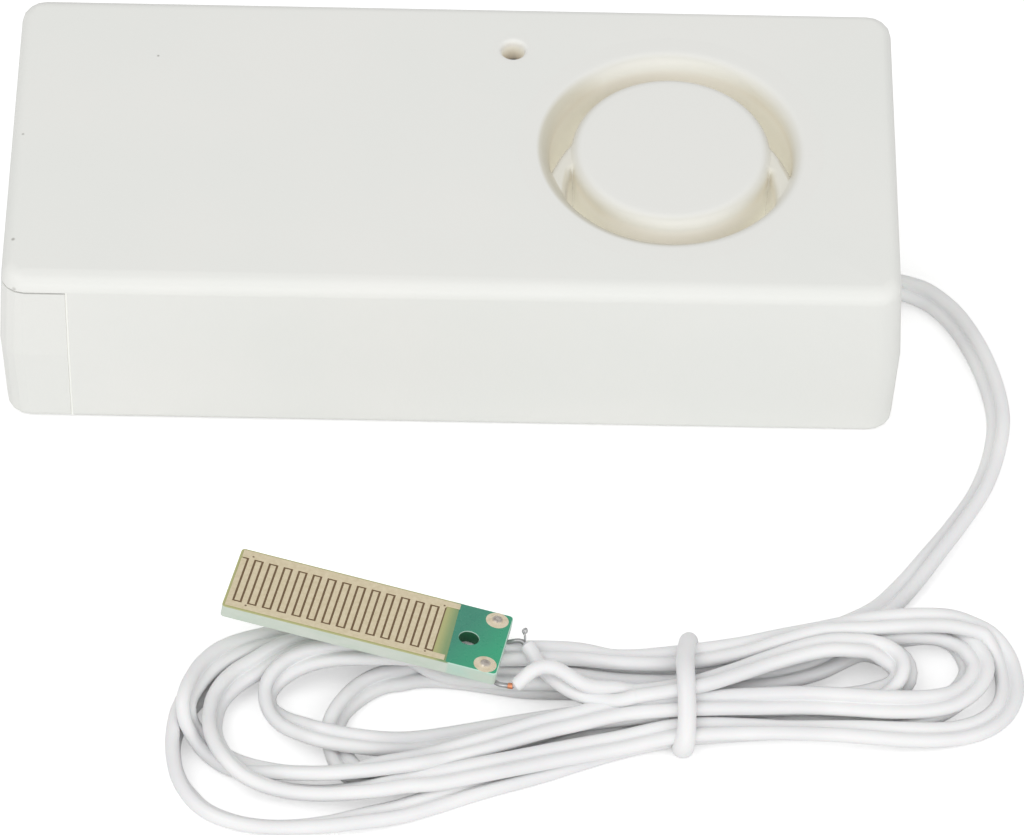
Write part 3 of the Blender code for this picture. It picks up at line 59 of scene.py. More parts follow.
# The twin cord's middle line: x, y, z in millimetres and the lift of its right-hand sheath in degrees.
# After the free loop come the hank's runs through the tie, with the folds at its left end (A to E) and at
# its right end (R).
CORD_ROUTE: tuple[RoutePoint, ...] = (
# free
    (53.0, -1.45, 2.60, 0), (55.6, -1.55, 2.50, 0), (57.9, -1.85, 2.10, -20), (60.6, -2.95, 1.90, -45),
    (63.7, -6.05, 1.80, -50), (66.3, -10.95, 1.75, -50), (68.3, -17.25, 1.70, -50),
    (69.1, -23.45, 1.70, -50), (68.3, -29.25, 1.70, -50), (66.4, -35.05, 1.65, -45),
    (63.4, -40.45, 1.55, -40), (59.9, -45.75, 1.38, -30), (56.8, -50.25, 1.13, -15),
    (53.9, -53.75, 0.97, -5),
# run1
    (51.8, -55.42, 0.90, 0), (45.4, -58.82, 0.90, 0), (39.3, -61.19, 0.90, 0), (31.3, -62.85, 0.89, 0),
    (27.7, -63.53, 0.90, 0), (18.8, -63.16, 0.89, 0), (9.1, -62.18, 0.90, 0), (-0.6, -61.18, 0.90, 0),
    (-9.2, -60.58, 0.90, 0), (-16.4, -61.11, 0.90, 0), (-21.0, -62.40, 1.05, 10),
    (-23.6, -63.89, 1.12, 15), (-26.1, -65.45, 1.19, 20), (-28.2, -67.16, 1.19, 20),
    (-29.8, -69.19, 1.33, 30), (-31.1, -71.51, 1.57, 50),
# A
    (-31.9, -73.98, 1.72, 70), (-32.3, -76.22, 1.77, 85), (-32.3, -78.41, 1.77, 85),
    (-31.9, -80.93, 1.76, 80), (-31.2, -83.05, 1.72, 70), (-30.1, -84.90, 1.65, 60),
    (-28.7, -86.63, 1.61, 55), (-26.7, -87.98, 1.57, 50), (-24.0, -88.99, 1.57, 50),
    (-20.8, -89.47, 1.57, 50), (-17.2, -89.40, 1.55, 48),
# run2
    (-13.4, -88.84, 1.46, 40), (-9.6, -87.78, 1.26, 25), (-4.9, -86.43, 1.05, 10), (-0.6, -84.61, 0.90, 0),
    (4.5, -82.44, 0.90, 0), (11.8, -79.76, 0.90, 0), (16.6, -77.74, 0.90, 0), (21.5, -75.87, 0.90, 0),
    (27.9, -74.18, 0.90, 0), (31.5, -73.61, 0.90, 0), (39.6, -72.62, 0.90, 0), (49.2, -72.22, 0.90, 0),
    (55.1, -71.30, 0.90, 0),
# Ra
    (58.7, -70.10, 0.90, 0), (61.4, -68.29, 0.90, 0), (63.4, -66.00, 0.90, 0), (64.4, -63.42, 0.90, 0),
    (63.9, -60.91, 0.90, 0), (62.7, -58.84, 0.90, 0), (60.5, -57.60, 0.90, 0),
# run3
    (57.7, -57.51, 0.90, 0), (53.5, -58.64, 0.90, 0), (46.2, -62.20, 0.90, 0), (40.0, -64.62, 0.90, 0),
    (31.7, -66.59, 0.90, 0), (28.1, -67.05, 0.90, 0), (21.6, -67.14, 0.90, 0), (15.3, -67.02, 0.90, 0),
    (9.8, -66.94, 0.90, 0), (5.9, -66.34, 0.90, 0), (2.0, -65.72, 0.90, 0), (-0.9, -65.50, 0.97, 5),
    (-3.5, -65.65, 1.05, 10), (-5.3, -66.21, 1.19, 20),
# E
    (-7.2, -66.71, 1.40, 35), (-9.3, -67.99, 1.51, 45), (-11.2, -70.01, 1.65, 60),
    (-12.5, -72.05, 1.69, 65), (-13.1, -73.85, 1.61, 55), (-13.1, -75.49, 1.33, 30),
    (-12.6, -77.23, 1.05, 10), (-11.9, -79.08, 0.90, 0), (-10.6, -80.66, 0.90, 0), (-8.8, -81.64, 0.90, 0),
# run4
    (-6.2, -81.77, 0.90, 0), (-4.6, -81.18, 0.90, 0), (0.4, -79.68, 0.90, 0), (7.7, -77.49, 0.90, 0),
    (15.0, -74.42, 0.90, 0), (22.1, -71.91, 0.90, 0), (28.4, -70.56, 0.90, 0), (32.1, -69.99, 0.90, 0),
    (40.2, -69.24, 0.89, 0), (47.7, -68.54, 0.90, 0),
# Rb
    (52.1, -67.83, 0.91, 0), (54.7, -66.91, 1.12, 15), (56.0, -65.63, 1.51, 45), (56.1, -63.89, 1.65, 60),
    (54.9, -62.18, 1.58, 35), (52.7, -61.36, 1.99, 10), (50.5, -61.37, 2.25, 0),
# run5
    (48.7, -62.19, 2.16, 0), (45.2, -64.44, 2.33, 0), (40.6, -66.25, 2.60, 0), (32.1, -67.83, 2.58, 0),
    (28.2, -68.15, 2.53, 0), (21.7, -67.91, 2.52, 0), (14.3, -67.06, 2.62, 0), (7.0, -66.93, 2.59, 0),
    (-0.3, -65.80, 2.52, 0), (-7.7, -60.82, 2.53, 0), (-13.9, -60.17, 2.54, 0), (-18.0, -60.70, 2.51, 5),
    (-20.6, -61.52, 2.62, 5), (-22.9, -62.41, 2.86, 5), (-25.2, -63.68, 3.20, 15),
    (-27.0, -65.09, 3.45, 30),
# B
    (-28.7, -67.06, 3.61, 45), (-29.9, -69.34, 3.90, 60), (-30.7, -71.72, 4.22, 70),
    (-30.9, -73.46, 4.07, 65), (-30.5, -74.96, 2.87, 50), (-29.3, -76.34, 1.63, 30),
    (-27.9, -77.69, 1.12, 15), (-26.2, -79.17, 1.05, 10), (-24.2, -80.22, 1.12, 15),
    (-21.9, -80.81, 1.33, 30), (-19.4, -81.40, 1.80, 45), (-16.5, -82.01, 2.46, 48),
    (-13.6, -82.30, 2.95, 48),
# run6
    (-9.8, -81.98, 3.24, 45), (-7.4, -81.47, 3.41, 30), (-3.6, -80.78, 3.62, 25), (0.2, -79.02, 2.74, 15),
    (4.0, -77.56, 2.59, 5), (7.9, -76.25, 2.89, 0), (11.7, -75.30, 3.60, 0), (15.5, -74.50, 4.09, 0),
    (21.3, -72.82, 4.16, 0), (27.7, -72.00, 4.08, 0), (31.3, -71.73, 4.04, 0), (35.2, -71.40, 4.11, -10),
    (39.6, -71.18, 4.25, -25), (43.5, -71.01, 4.30, -35), (48.8, -70.98, 4.07, -38),
# R2
    (53.2, -70.98, 3.76, -35), (57.0, -70.48, 3.19, -30), (59.8, -69.88, 2.90, -20),
    (61.6, -69.10, 2.63, -10), (63.4, -67.66, 2.49, 0), (64.6, -66.04, 2.48, 0), (65.2, -64.10, 2.49, 0),
    (64.9, -62.62, 2.58, 0), (64.2, -61.45, 2.71, 0), (63.3, -60.34, 2.59, 0), (62.0, -59.38, 2.49, 0),
    (60.4, -58.84, 2.59, 0),
# run7
    (58.0, -58.90, 2.94, 0), (54.9, -59.58, 3.54, 0), (50.5, -60.64, 3.76, 0), (45.6, -61.81, 3.52, 0),
    (39.6, -62.97, 2.65, 0), (31.4, -64.48, 2.56, 0), (27.8, -64.80, 2.46, 0), (21.4, -64.43, 2.40, 0),
    (14.1, -63.60, 2.51, 0), (6.8, -63.30, 2.75, 0), (-0.5, -63.92, 3.70, 0), (-7.8, -63.75, 3.82, 0),
    (-13.3, -63.35, 3.74, 0), (-16.1, -63.05, 3.88, 0), (-18.4, -63.69, 3.74, 5),
    (-20.9, -65.00, 3.39, 15), (-22.8, -66.30, 3.00, 25), (-24.7, -67.59, 2.70, 35),
# C
    (-26.2, -69.25, 2.58, 50), (-27.3, -71.25, 2.44, 60), (-27.7, -73.90, 2.69, 65),
    (-27.5, -76.82, 3.32, 65), (-26.6, -79.44, 3.60, 60), (-25.2, -81.69, 3.73, 55),
    (-23.5, -83.22, 3.43, 50), (-21.2, -84.00, 2.63, 48), (-18.3, -84.32, 1.94, 46),
    (-14.5, -84.53, 1.89, 44),
# run8
    (-10.7, -84.46, 2.28, 40), (-7.3, -84.18, 2.80, 30), (-4.5, -83.37, 2.77, 20), (-0.7, -82.60, 2.66, 5),
    (4.1, -81.34, 2.73, 0), (8.9, -79.94, 2.55, 0), (13.7, -78.66, 2.60, 0), (17.5, -77.70, 2.60, 0),
    (21.3, -76.72, 2.52, 0), (27.7, -75.06, 2.62, 0), (31.3, -74.72, 2.74, 5), (37.0, -74.55, 2.88, 20),
    (41.8, -74.58, 2.95, 28), (46.6, -74.48, 2.86, 22),
# R1
    (51.4, -74.44, 2.62, 10), (55.7, -74.21, 2.06, 0), (59.4, -73.74, 1.47, 0), (62.7, -72.93, 1.01, 0),
    (65.3, -71.79, 0.90, 0), (67.3, -70.05, 0.90, 0), (68.4, -68.03, 0.90, 0), (68.8, -65.86, 0.90, 0),
    (68.7, -63.93, 1.00, 0), (68.3, -62.14, 1.30, -5), (67.6, -60.63, 1.85, -14), (66.8, -59.69, 2.55, -24),
    (65.8, -59.03, 3.25, -28), (63.9, -58.72, 3.95, -18), (61.8, -58.50, 4.45, -6),
# run9
    (59.1, -58.62, 4.80, 0), (55.4, -59.24, 5.26, 0), (51.7, -59.96, 5.55, -10), (48.1, -60.59, 5.66, -30),
    (45.6, -61.03, 5.57, -42), (40.2, -62.25, 4.96, -28), (36.7, -63.27, 4.55, -15),
    (31.4, -64.56, 4.35, 0), (27.7, -65.13, 4.28, 0), (23.7, -65.31, 4.26, -20), (20.1, -65.16, 4.25, -25),
    (16.5, -64.53, 4.24, -10), (12.2, -64.46, 4.31, 0), (6.8, -64.90, 4.55, 0), (-0.5, -65.67, 5.30, 0),
    (-6.5, -65.81, 5.56, 0), (-11.2, -65.57, 5.22, 15), (-13.9, -65.62, 4.95, 25),
    (-16.4, -66.00, 4.52, 35), (-18.7, -66.88, 3.84, 50),
# D
    (-20.3, -67.94, 2.95, 65), (-21.2, -69.24, 2.08, 75), (-21.2, -70.80, 1.72, 70),
    (-20.4, -72.35, 1.70, 45), (-18.9, -74.08, 2.08, 20), (-16.7, -75.59, 2.69, 5),
    (-14.7, -76.76, 3.31, 0),
# run10
    (-12.8, -77.07, 3.08, 0), (-9.9, -77.11, 2.49, 0), (-7.0, -76.89, 1.83, 0), (-3.9, -76.35, 1.20, 0),
    (-0.2, -75.51, 0.90, 0), (4.6, -74.44, 0.95, 0), (10.7, -73.58, 1.74, 0), (16.7, -73.02, 2.55, 0),
    (21.6, -72.28, 2.55, 0), (28.0, -71.52, 2.39, 0), (31.7, -71.14, 2.40, 0), (39.7, -70.21, 2.40, 0),
    (45.7, -69.74, 2.39, 0),
# R4
    (50.5, -69.04, 2.46, 0), (53.0, -68.25, 2.84, 20), (54.6, -67.28, 3.37, 45), (55.2, -66.09, 3.88, 60),
    (54.8, -64.82, 4.29, 45), (53.5, -63.86, 4.76, 20), (51.7, -63.46, 5.40, 0), (49.7, -63.77, 6.00, -5),
# run11
    (47.3, -64.04, 6.36, -10), (44.5, -64.51, 6.18, -15), (39.4, -66.17, 5.68, -25),
    (35.7, -67.68, 5.35, -30), (31.3, -69.53, 5.23, -32), (27.6, -70.36, 5.00, -35),
    (24.9, -70.74, 4.83, -35), (23.0, -71.02, 4.84, -30),
)


def linear(red: int, green: int, blue: int) -> Colour:
    """Turns a colour as a screen shows it into the linear one that a shader takes.

    Args:
        red: red, 0 to 255.
        green: green, 0 to 255.
        blue: blue, 0 to 255.

    Returns:
        The three linear parts.
    """
    def part(value: int) -> float:
        """One part of the colour, linear."""
        share = value / 255
        return share / 12.92 if share <= 0.04045 else ((share + 0.055) / 1.055) ** 2.4
    return part(red), part(green), part(blue)


# Finishes


class Finish(Protocol):
    """Anything that makes a material."""

    def build(self) -> bpy.types.Material:
        """Makes the material."""


class Sheet:
    """The node sheet of one material, with short ways to add and join nodes."""

    def __init__(self, name: str) -> None:
        """Starts a material whose surface is one Principled shader.

        Args:
            name: the material's name.
        """
        self.material = bpy.data.materials.new(name)
        self.material.use_nodes = True
        self.tree = self.material.node_tree
        self.shader = self.tree.nodes["Principled BSDF"]
        self.place = self.add("ShaderNodeTexCoord").outputs["Object"]

    def add(self, kind: str, **settings: object) -> bpy.types.Node:
        """Adds a node.

        Args:
            kind: the node's type.
            **settings: its properties, by name.

        Returns:
            The new node.
        """
        node = self.tree.nodes.new(kind)
        for key, value in settings.items():
            setattr(node, key, value)
        return node

    def join(self, source: Socket, target: Socket) -> None:
        """Links two sockets."""
        self.tree.links.new(source, target)

    def noise(self, scale: float, detail: float = 2.0, stretch: Point = (1, 1, 1)) -> Socket:
        """Adds a noise pattern in the object's own metres.

        Args:
            scale: waves per metre.
            detail: octaves.
            stretch: factors on X, Y and Z before the noise.

        Returns:
            The pattern's value, 0 to 1.
        """
        source = self.place
        if stretch != (1, 1, 1):
            turn = self.add("ShaderNodeMapping")
            turn.inputs["Scale"].default_value = stretch
            self.join(source, turn.inputs["Vector"])
            source = turn.outputs["Vector"]
        node = self.add("ShaderNodeTexNoise")
        node.inputs["Scale"].default_value = scale
        node.inputs["Detail"].default_value = detail
        self.join(source, node.inputs["Vector"])
        return node.outputs["Fac"]

    def ramp(self, value: Socket, stops: Sequence[tuple[float, Colour]]) -> Socket:
        """Maps a value to colours.

        Args:
            value: what is mapped.
            stops: places from 0 to 1, each with its colour.

        Returns:
            The colour.
        """
        node = self.add("ShaderNodeValToRGB")
        bar = node.color_ramp.elements
        while len(bar) < len(stops):
            bar.new(0.5)
        for element, (spot, colour) in zip(bar, stops):
            element.position = spot
            element.color = (*colour, 1)
        self.join(value, node.inputs["Fac"])
        return node.outputs["Color"]

    def span(self, value: Socket, source: Pair, target: Pair) -> Socket:
        """Maps a value from one span to another, held at its ends.

        Args:
            value: what is mapped.
            source: the span that it comes from.
            target: the span that it goes to.

        Returns:
            The mapped value.
        """
        node = self.add("ShaderNodeMapRange")
        for name, number in zip(("From Min", "From Max", "To Min", "To Max"), (*source, *target)):
            node.inputs[name].default_value = number
        self.join(value, node.inputs["Value"])
        return node.outputs["Result"]

    def feed(self, values: Iterable[Value], sockets: Iterable[Socket]) -> None:
        """Gives each socket its value.

        Args:
            values: links, colours or numbers.
            sockets: the sockets that they go to, in the same order.
        """
        for value, socket in zip(values, sockets):
            if isinstance(value, Socket):
                self.join(value, socket)
            elif isinstance(value, tuple):
                socket.default_value = (*value, 1)
            else:
                socket.default_value = value

    def blend(self, share: Value, first: Value, second: Value) -> Socket:
        """Mixes two colours.

        Args:
            share: how much of the second, a socket or a number.
            first: a colour or a socket.
            second: a colour or a socket.

        Returns:
            The mixed colour.
        """
        node = self.add("ShaderNodeMix", data_type="RGBA")
        self.feed((share, first, second), (node.inputs[0], node.inputs[6], node.inputs[7]))
        return node.outputs[2]

    def mottle(self, pattern: Socket, tone: Colour, shade: Colour, span: Pair = (0.35, 0.65)) -> Socket:
        """Mixes two tones by a pattern.

        Args:
            pattern: the pattern.
            tone: the colour where it is low.
            shade: the colour where it is high.
            span: between which of its values the colour changes.

        Returns:
            The colour.
        """
        return self.blend(self.span(pattern, span, (0.0, 1.0)), tone, shade)

    def math(self, operation: str, first: Value, second: Value = 0.0) -> Socket:
        """Adds a sum of two values.

        Args:
            operation: what is done with them.
            first: a socket or a number.
            second: a socket or a number.

        Returns:
            The result.
        """
        node = self.add("ShaderNodeMath", operation=operation)
        self.feed((first, second), (node.inputs[0], node.inputs[1]))
        return node.outputs[0]

    def axis(self, name: str) -> Socket:
        """The object's own X, Y or Z.

        Args:
            name: the axis, as a capital letter.

        Returns:
            The place along it, in metres.
        """
        node = self.add("ShaderNodeSeparateXYZ")
        self.join(self.place, node.inputs[0])
        return node.outputs[name]

    def facing(self, way: Point) -> Socket:
        """How far the surface faces one way.

        Args:
            way: the direction.

        Returns:
            1 straight at it, below 0 turned from it.
        """
        node = self.add("ShaderNodeVectorMath", operation="DOT_PRODUCT")
        self.join(self.add("ShaderNodeTexCoord").outputs["Normal"], node.inputs[0])
        node.inputs[1].default_value = way
        return node.outputs["Value"]

    def away(self, middle: Pair) -> Socket:
        """The surface's level distance from an upright line.

        Args:
            middle: where the line stands, in metres.

        Returns:
            The distance in metres.
        """
        flat = self.add("ShaderNodeVectorMath", operation="MULTIPLY")
        self.join(self.place, flat.inputs[0])
        flat.inputs[1].default_value = (1, 1, 0)
        node = self.add("ShaderNodeVectorMath", operation="DISTANCE")
        self.join(flat.outputs["Vector"], node.inputs[0])
        node.inputs[1].default_value = (*middle, 0)
        return node.outputs["Value"]

    def near(self, spot: Point, reach: float, edge: float = 0.3) -> Socket:
        """How far the surface lies within a ball.

        Args:
            spot: the ball's middle, in metres.
            reach: its radius.
            edge: the share of the radius over which it fades.

        Returns:
            1 at the middle, 0 outside.
        """
        node = self.add("ShaderNodeVectorMath", operation="DISTANCE")
        self.join(self.place, node.inputs[0])
        node.inputs[1].default_value = spot
        return self.span(node.outputs["Value"], (reach * (1 - edge), reach), (1.0, 0.0))

    def colour(self, value: Value) -> None:
        """Sets the base colour from a socket or a colour."""
        self.feed((value,), (self.shader.inputs["Base Color"],))

    def gloss(self, pattern: Socket, low: float, high: float) -> None:
        """Lets the roughness wander between two values with a pattern."""
        self.join(self.span(pattern, (0.3, 0.7), (low, high)), self.shader.inputs["Roughness"])

    def relief(self, pattern: Socket, depth: float) -> None:
        """Adds bump from a pattern.

        Args:
            pattern: the pattern.
            depth: its real depth in metres.
        """
        node = self.add("ShaderNodeBump")
        node.inputs["Strength"].default_value = 1.0
        node.inputs["Distance"].default_value = depth
        self.join(pattern, node.inputs["Height"])
        self.join(node.outputs["Normal"], self.shader.inputs["Normal"])

    def set(self, **values: float) -> None:
        """Sets plain shader sockets, named with underscores for spaces."""
        for key, value in values.items():
            self.shader.inputs[key.replace("_", " ")].default_value = value


@dataclass(frozen=True)
class Speck:
    """One small dirt mark on the housing: where it lies in millimetres, its radius and how dark it is."""

    spot: Point
    radius: float
    depth: float


@dataclass(frozen=True)
class MouldedPlastic:
    """White injection-moulded plastic: a fine spark-eroded grain, faint flow shading and a few dirt marks."""

    name: str
    tone: Colour = linear(232, 232, 228)
    shade: Colour = linear(230, 231, 227)
    grain: float = 0.012 * MM
    rough: Pair = (0.42, 0.52)
    specks: tuple[Speck, ...] = ()
    dirt: Colour = linear(120, 116, 108)
    glow: float = 0.0

    def build(self) -> bpy.types.Material:
        """Makes the material.

        Returns:
            The finished material.
        """
        sheet = Sheet(self.name)
        colour = sheet.mottle(sheet.noise(38, 3), self.tone, self.shade)
        for speck in self.specks:
            spot = tuple(part * MM for part in speck.spot)
            share = sheet.math("MULTIPLY", sheet.near(spot, speck.radius * MM, 0.7), speck.depth)
            colour = sheet.blend(share, colour, self.dirt)
        sheet.colour(colour)
        sheet.gloss(sheet.noise(240, 2), *self.rough)
        sheet.relief(sheet.noise(2600, 3), self.grain)
        sheet.set(Specular_IOR_Level=0.4)
        # Painted glow: emission makes the plastic brighter than its lamps alone light it.
        if self.glow:
            sheet.join(colour, sheet.shader.inputs["Emission Color"])
            sheet.set(Emission_Strength=self.glow)
        return sheet.material


@dataclass(frozen=True)
class SoftSheath:
    """White flexible vinyl of the cord, tie and single cores: smooth, a little glossy, faintly uneven."""

    name: str
    tone: Colour = linear(237, 237, 237)
    shade: Colour = linear(229, 229, 230)
    rough: Pair = (0.34, 0.46)

    def build(self) -> bpy.types.Material:
        """Makes the material.

        Returns:
            The finished material.
        """
        sheet = Sheet(self.name)
        sheet.colour(sheet.mottle(sheet.noise(90, 2), self.tone, self.shade))
        sheet.gloss(sheet.noise(420, 2), *self.rough)
        sheet.relief(sheet.noise(800, 2), 0.03 * MM)
        sheet.set(Specular_IOR_Level=0.45, Subsurface_Weight=0.06, Subsurface_Scale=0.8 * MM)
        return sheet.material


@dataclass(frozen=True)
class Painted:
    """A plain coloured surface with a fine mottle: wire insulation, jackets, sleeves, cases."""

    name: str
    tone: Colour
    shade: Colour
    scale: float = 500.0
    rough: Pair = (0.35, 0.5)
    grain: float = 0.01 * MM

    def build(self) -> bpy.types.Material:
        """Makes the material.

        Returns:
            The finished material.
        """
        sheet = Sheet(self.name)
        pattern = sheet.noise(self.scale, 3)
        sheet.colour(sheet.mottle(pattern, self.tone, self.shade))
        sheet.gloss(pattern, *self.rough)
        sheet.relief(sheet.noise(self.scale * 5, 2), self.grain)
        return sheet.material


@dataclass(frozen=True)
class Metal:
    """A plated or bare metal with drawn streaks."""

    name: str
    tone: Colour
    shade: Colour
    rough: Pair = (0.22, 0.4)
    stretch: Point = (1, 1, 8)

    def build(self) -> bpy.types.Material:
        """Makes the material.

        Returns:
            The finished material.
        """
        sheet = Sheet(self.name)
        pattern = sheet.noise(900, 3, self.stretch)
        sheet.colour(sheet.mottle(pattern, self.tone, self.shade, (0.3, 0.7)))
        sheet.gloss(pattern, *self.rough)
        sheet.relief(pattern, 0.006 * MM)
        sheet.set(Metallic=1.0)
        return sheet.material


@dataclass(frozen=True)
class Laminate:
    """Glass-epoxy board: olive bare face, a greener bare strip, pale ground edges, a painted highlight on the
    face at its right end, and painted shade on the hole's wall.
    """

    name: str
    face: Colour = linear(176, 177, 122)
    strip: Colour = linear(132, 156, 110)
    gap: Colour = linear(112, 88, 58)
    # rim: pale mint on the face at the board's right end, a painted highlight of that edge
    rim: Colour = linear(196, 226, 212)
    # bore: dark green painted shade on the hole's wall, for the shadow under the board
    bore_shade: Colour = linear(34, 98, 66)
    edge: Colour = linear(208, 214, 204)
    edge_right: Colour = linear(182, 210, 196)
    blotch: Colour = linear(196, 208, 194)
    strip_from: float = 9.2 * MM
    strip_to: float = 10.9 * MM
    fades: Pair = (1.0 * MM, 0.3 * MM)
    fine: float = 0.05 * MM
    skin: Pair = (-0.16 * MM, -0.06 * MM)
    comb: tuple[float, float, float] = (-16.55 * MM, 8.9 * MM, 5.1 * MM)
    hole: Point = (12.6 * MM, -0.26 * MM, 1.45 * MM)

    def build(self) -> bpy.types.Material:
        """Makes the material.

        Returns:
            The finished material.
        """
        sheet = Sheet(self.name)
        x, fine = sheet.axis("X"), self.fine
        along = sheet.span(x, (self.strip_from, self.strip_from + self.fades[0]), (0.0, 1.0))
        right = sheet.span(x, (self.strip_to, self.strip_to + self.fades[1]), (0.0, 1.0))
        # the face at the right end takes the painted highlight (rim)
        face = sheet.blend(right, sheet.blend(along, self.face, self.strip), self.rim)
        start, end, half = self.comb
        beneath = sheet.math("MULTIPLY", sheet.span(x, (start - fine, start), (0.0, 1.0)),
                             sheet.span(x, (end, end + fine), (1.0, 0.0)))
        beneath = sheet.math("MULTIPLY", beneath, sheet.span(sheet.math("ABSOLUTE", sheet.axis("Y")),
                                                             (half, half + fine), (1.0, 0.0)))
        face = sheet.blend(beneath, face, self.gap)
        blotch = sheet.span(sheet.noise(260, 3, (1, 1, 2.5)), (0.3, 0.7), (0.0, 1.0))
        edge = sheet.blend(blotch, sheet.blend(right, self.edge, self.edge_right), self.blotch)
        # painted shade: inside the hole the edge turns dark green
        inside = sheet.span(sheet.away(self.hole[:2]), (self.hole[2], self.hole[2] + fine), (1.0, 0.0))
        edge = sheet.blend(inside, edge, self.bore_shade)
        top = sheet.span(sheet.axis("Z"), self.skin, (0.0, 1.0))
        sheet.colour(sheet.blend(top, edge, face))
        sheet.gloss(sheet.noise(900, 2), 0.35, 0.6)
        sheet.relief(sheet.noise(1500, 2, (1, 1, 3)), 0.02 * MM)
        return sheet.material


@dataclass(frozen=True)
class SolderMask:
    """Green lacquer on the bare end of the probe board, brighter towards its outer corner."""

    name: str
    deep: Colour = linear(52, 136, 112)
    bright: Colour = linear(44, 168, 122)
    reach: Pair = (12.5 * MM, 20.5 * MM)
    slant: float = 0.45
    wander: float = 3 * MM

    def build(self) -> bpy.types.Material:
        """Makes the material.

        Returns:
            The finished material.
        """
        sheet = Sheet(self.name)
        slope = sheet.math("SUBTRACT", sheet.axis("X"), sheet.math("MULTIPLY", sheet.axis("Y"), self.slant))
        wander = sheet.math("MULTIPLY", sheet.noise(220, 2), self.wander)
        share = sheet.span(sheet.math("ADD", slope, wander), self.reach, (0.0, 1.0))
        sheet.colour(sheet.blend(share, self.deep, self.bright))
        sheet.gloss(sheet.noise(500, 2), 0.2, 0.34)
        sheet.relief(sheet.noise(900, 2), 0.01 * MM)
        sheet.set(Coat_Weight=0.2, Coat_Roughness=0.2)
        return sheet.material


@dataclass(frozen=True)
class CombFoil:
    """Tinned foil of the combs: warm and dull, with a fine sand-coloured mottle."""

    name: str
    tone: Colour = linear(220, 207, 177)
    shade: Colour = linear(211, 197, 165)

    def build(self) -> bpy.types.Material:
        """Makes the material.

        Returns:
            The finished material.
        """
        sheet = Sheet(self.name)
        pattern = sheet.noise(1700, 4)
        sheet.colour(sheet.mottle(pattern, self.tone, self.shade))
        sheet.gloss(pattern, 0.45, 0.6)
        sheet.relief(pattern, 0.006 * MM)
        sheet.set(Metallic=0.1)
        return sheet.material


@dataclass(frozen=True)
class SolderJoint:
    """Set solder on its ring of foil: grey and shiny in the middle, tan outside."""

    name: str
    middle: Point
    radius: float = 0.72 * MM

    def build(self) -> bpy.types.Material:
        """Makes the material.

        Returns:
            The finished material.
        """
        sheet = Sheet(self.name)
        inside = sheet.near(self.middle, self.radius, 0.3)
        pattern = sheet.span(sheet.noise(1500, 3), (0.35, 0.65), (0.0, 1.0))
        ring = sheet.blend(pattern, linear(226, 214, 190), linear(214, 198, 170))
        metal = sheet.blend(pattern, linear(206, 198, 190), linear(150, 140, 134))
        sheet.colour(sheet.blend(inside, ring, metal))
        sheet.gloss(pattern, 0.25, 0.45)
        sheet.relief(pattern, 0.03 * MM)
        sheet.join(sheet.span(inside, (0.0, 1.0), (0.15, 0.8)), sheet.shader.inputs["Metallic"])
        return sheet.material


@dataclass(frozen=True)
class TintedLens:
    """Clear tinted resin of the indicator lamp."""

    name: str
    tone: Colour = linear(196, 140, 112)

    def build(self) -> bpy.types.Material:
        """Makes the material.

        Returns:
            The finished material.
        """
        sheet = Sheet(self.name)
        sheet.colour(sheet.blend(sheet.noise(300, 2), self.tone, linear(170, 104, 80)))
        sheet.gloss(sheet.noise(700, 1), 0.08, 0.16)
        sheet.set(Transmission_Weight=0.3, IOR=1.5)
        return sheet.material


# Mesh tools


def new_object(name: str, mesh: bpy.types.Mesh, material: bpy.types.Material) -> bpy.types.Object:
    """Puts a mesh into the scene with one material.

    Args:
        name: the piece's name.
        mesh: its mesh.
        material: its finish.

    Returns:
        The object.
    """
    thing = bpy.data.objects.new(name, mesh)
    bpy.context.scene.collection.objects.link(thing)
    mesh.materials.append(material)
    return thing


def smooth(mesh: bpy.types.Mesh, angle: float = 35.0) -> None:
    """Shades a mesh smooth, with edges sharper than an angle kept sharp.

    Args:
        mesh: the mesh.
        angle: the angle in degrees.
    """
    work = bmesh.new()
    work.from_mesh(mesh)
    limit = math.radians(angle)
    for face in work.faces:
        face.smooth = True
    for edge in work.edges:
        edge.smooth = len(edge.link_faces) == 2 and edge.calc_face_angle(0.0) < limit
    work.to_mesh(mesh)
    work.free()


def mesh_of(name: str, points: Iterable[Sequence[float]], faces: Iterable[Sequence[int]],
            angle: float = 35.0) -> bpy.types.Mesh:
    """Makes a smooth-shaded mesh from points and faces, with its normals outwards.

    Args:
        name: the mesh's name.
        points: the points in metres.
        faces: each face's point numbers.
        angle: edges sharper than this, in degrees, stay sharp.

    Returns:
        The mesh.
    """
    mesh = bpy.data.meshes.new(name)
    mesh.from_pydata([tuple(float(part) for part in point) for point in points], [],
                     [tuple(int(number) for number in face) for face in faces])
    work = bmesh.new()
    work.from_mesh(mesh)
    bmesh.ops.recalc_face_normals(work, faces=work.faces)
    work.to_mesh(mesh)
    work.free()
    smooth(mesh, angle)
    return mesh


def settle(thing: bpy.types.Object, slot: str, *nodes: str,
           pose: Optional[Matrix] = None) -> bpy.types.Object:
    """Lets a piece ride on the housing, in place of its CAD nodes.

    Args:
        thing: the piece.
        slot: the name of a material slot; not used.
        *nodes: the CAD nodes that it stands for.
        pose: where it lies, if its mesh isn't in the frame's own place.

    Returns:
        The piece.
    """
    if pose is not None:
        thing.matrix_world = pose
    if nodes:
        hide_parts(*nodes)
    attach(thing, HOUSING)
    LOG.info("%s: %d faces", thing.name, len(thing.data.polygons))
    return thing


def put_on(node: bpy.types.Object, material: bpy.types.Material) -> None:
    """Gives a CAD node one finish and smooth shading.

    Args:
        node: the node.
        material: its finish.
    """
    node.data.materials.clear()
    node.data.materials.append(material)
    smooth(node.data, HOUSING_CREASE)
    LOG.info("%s: dressed", node.name)


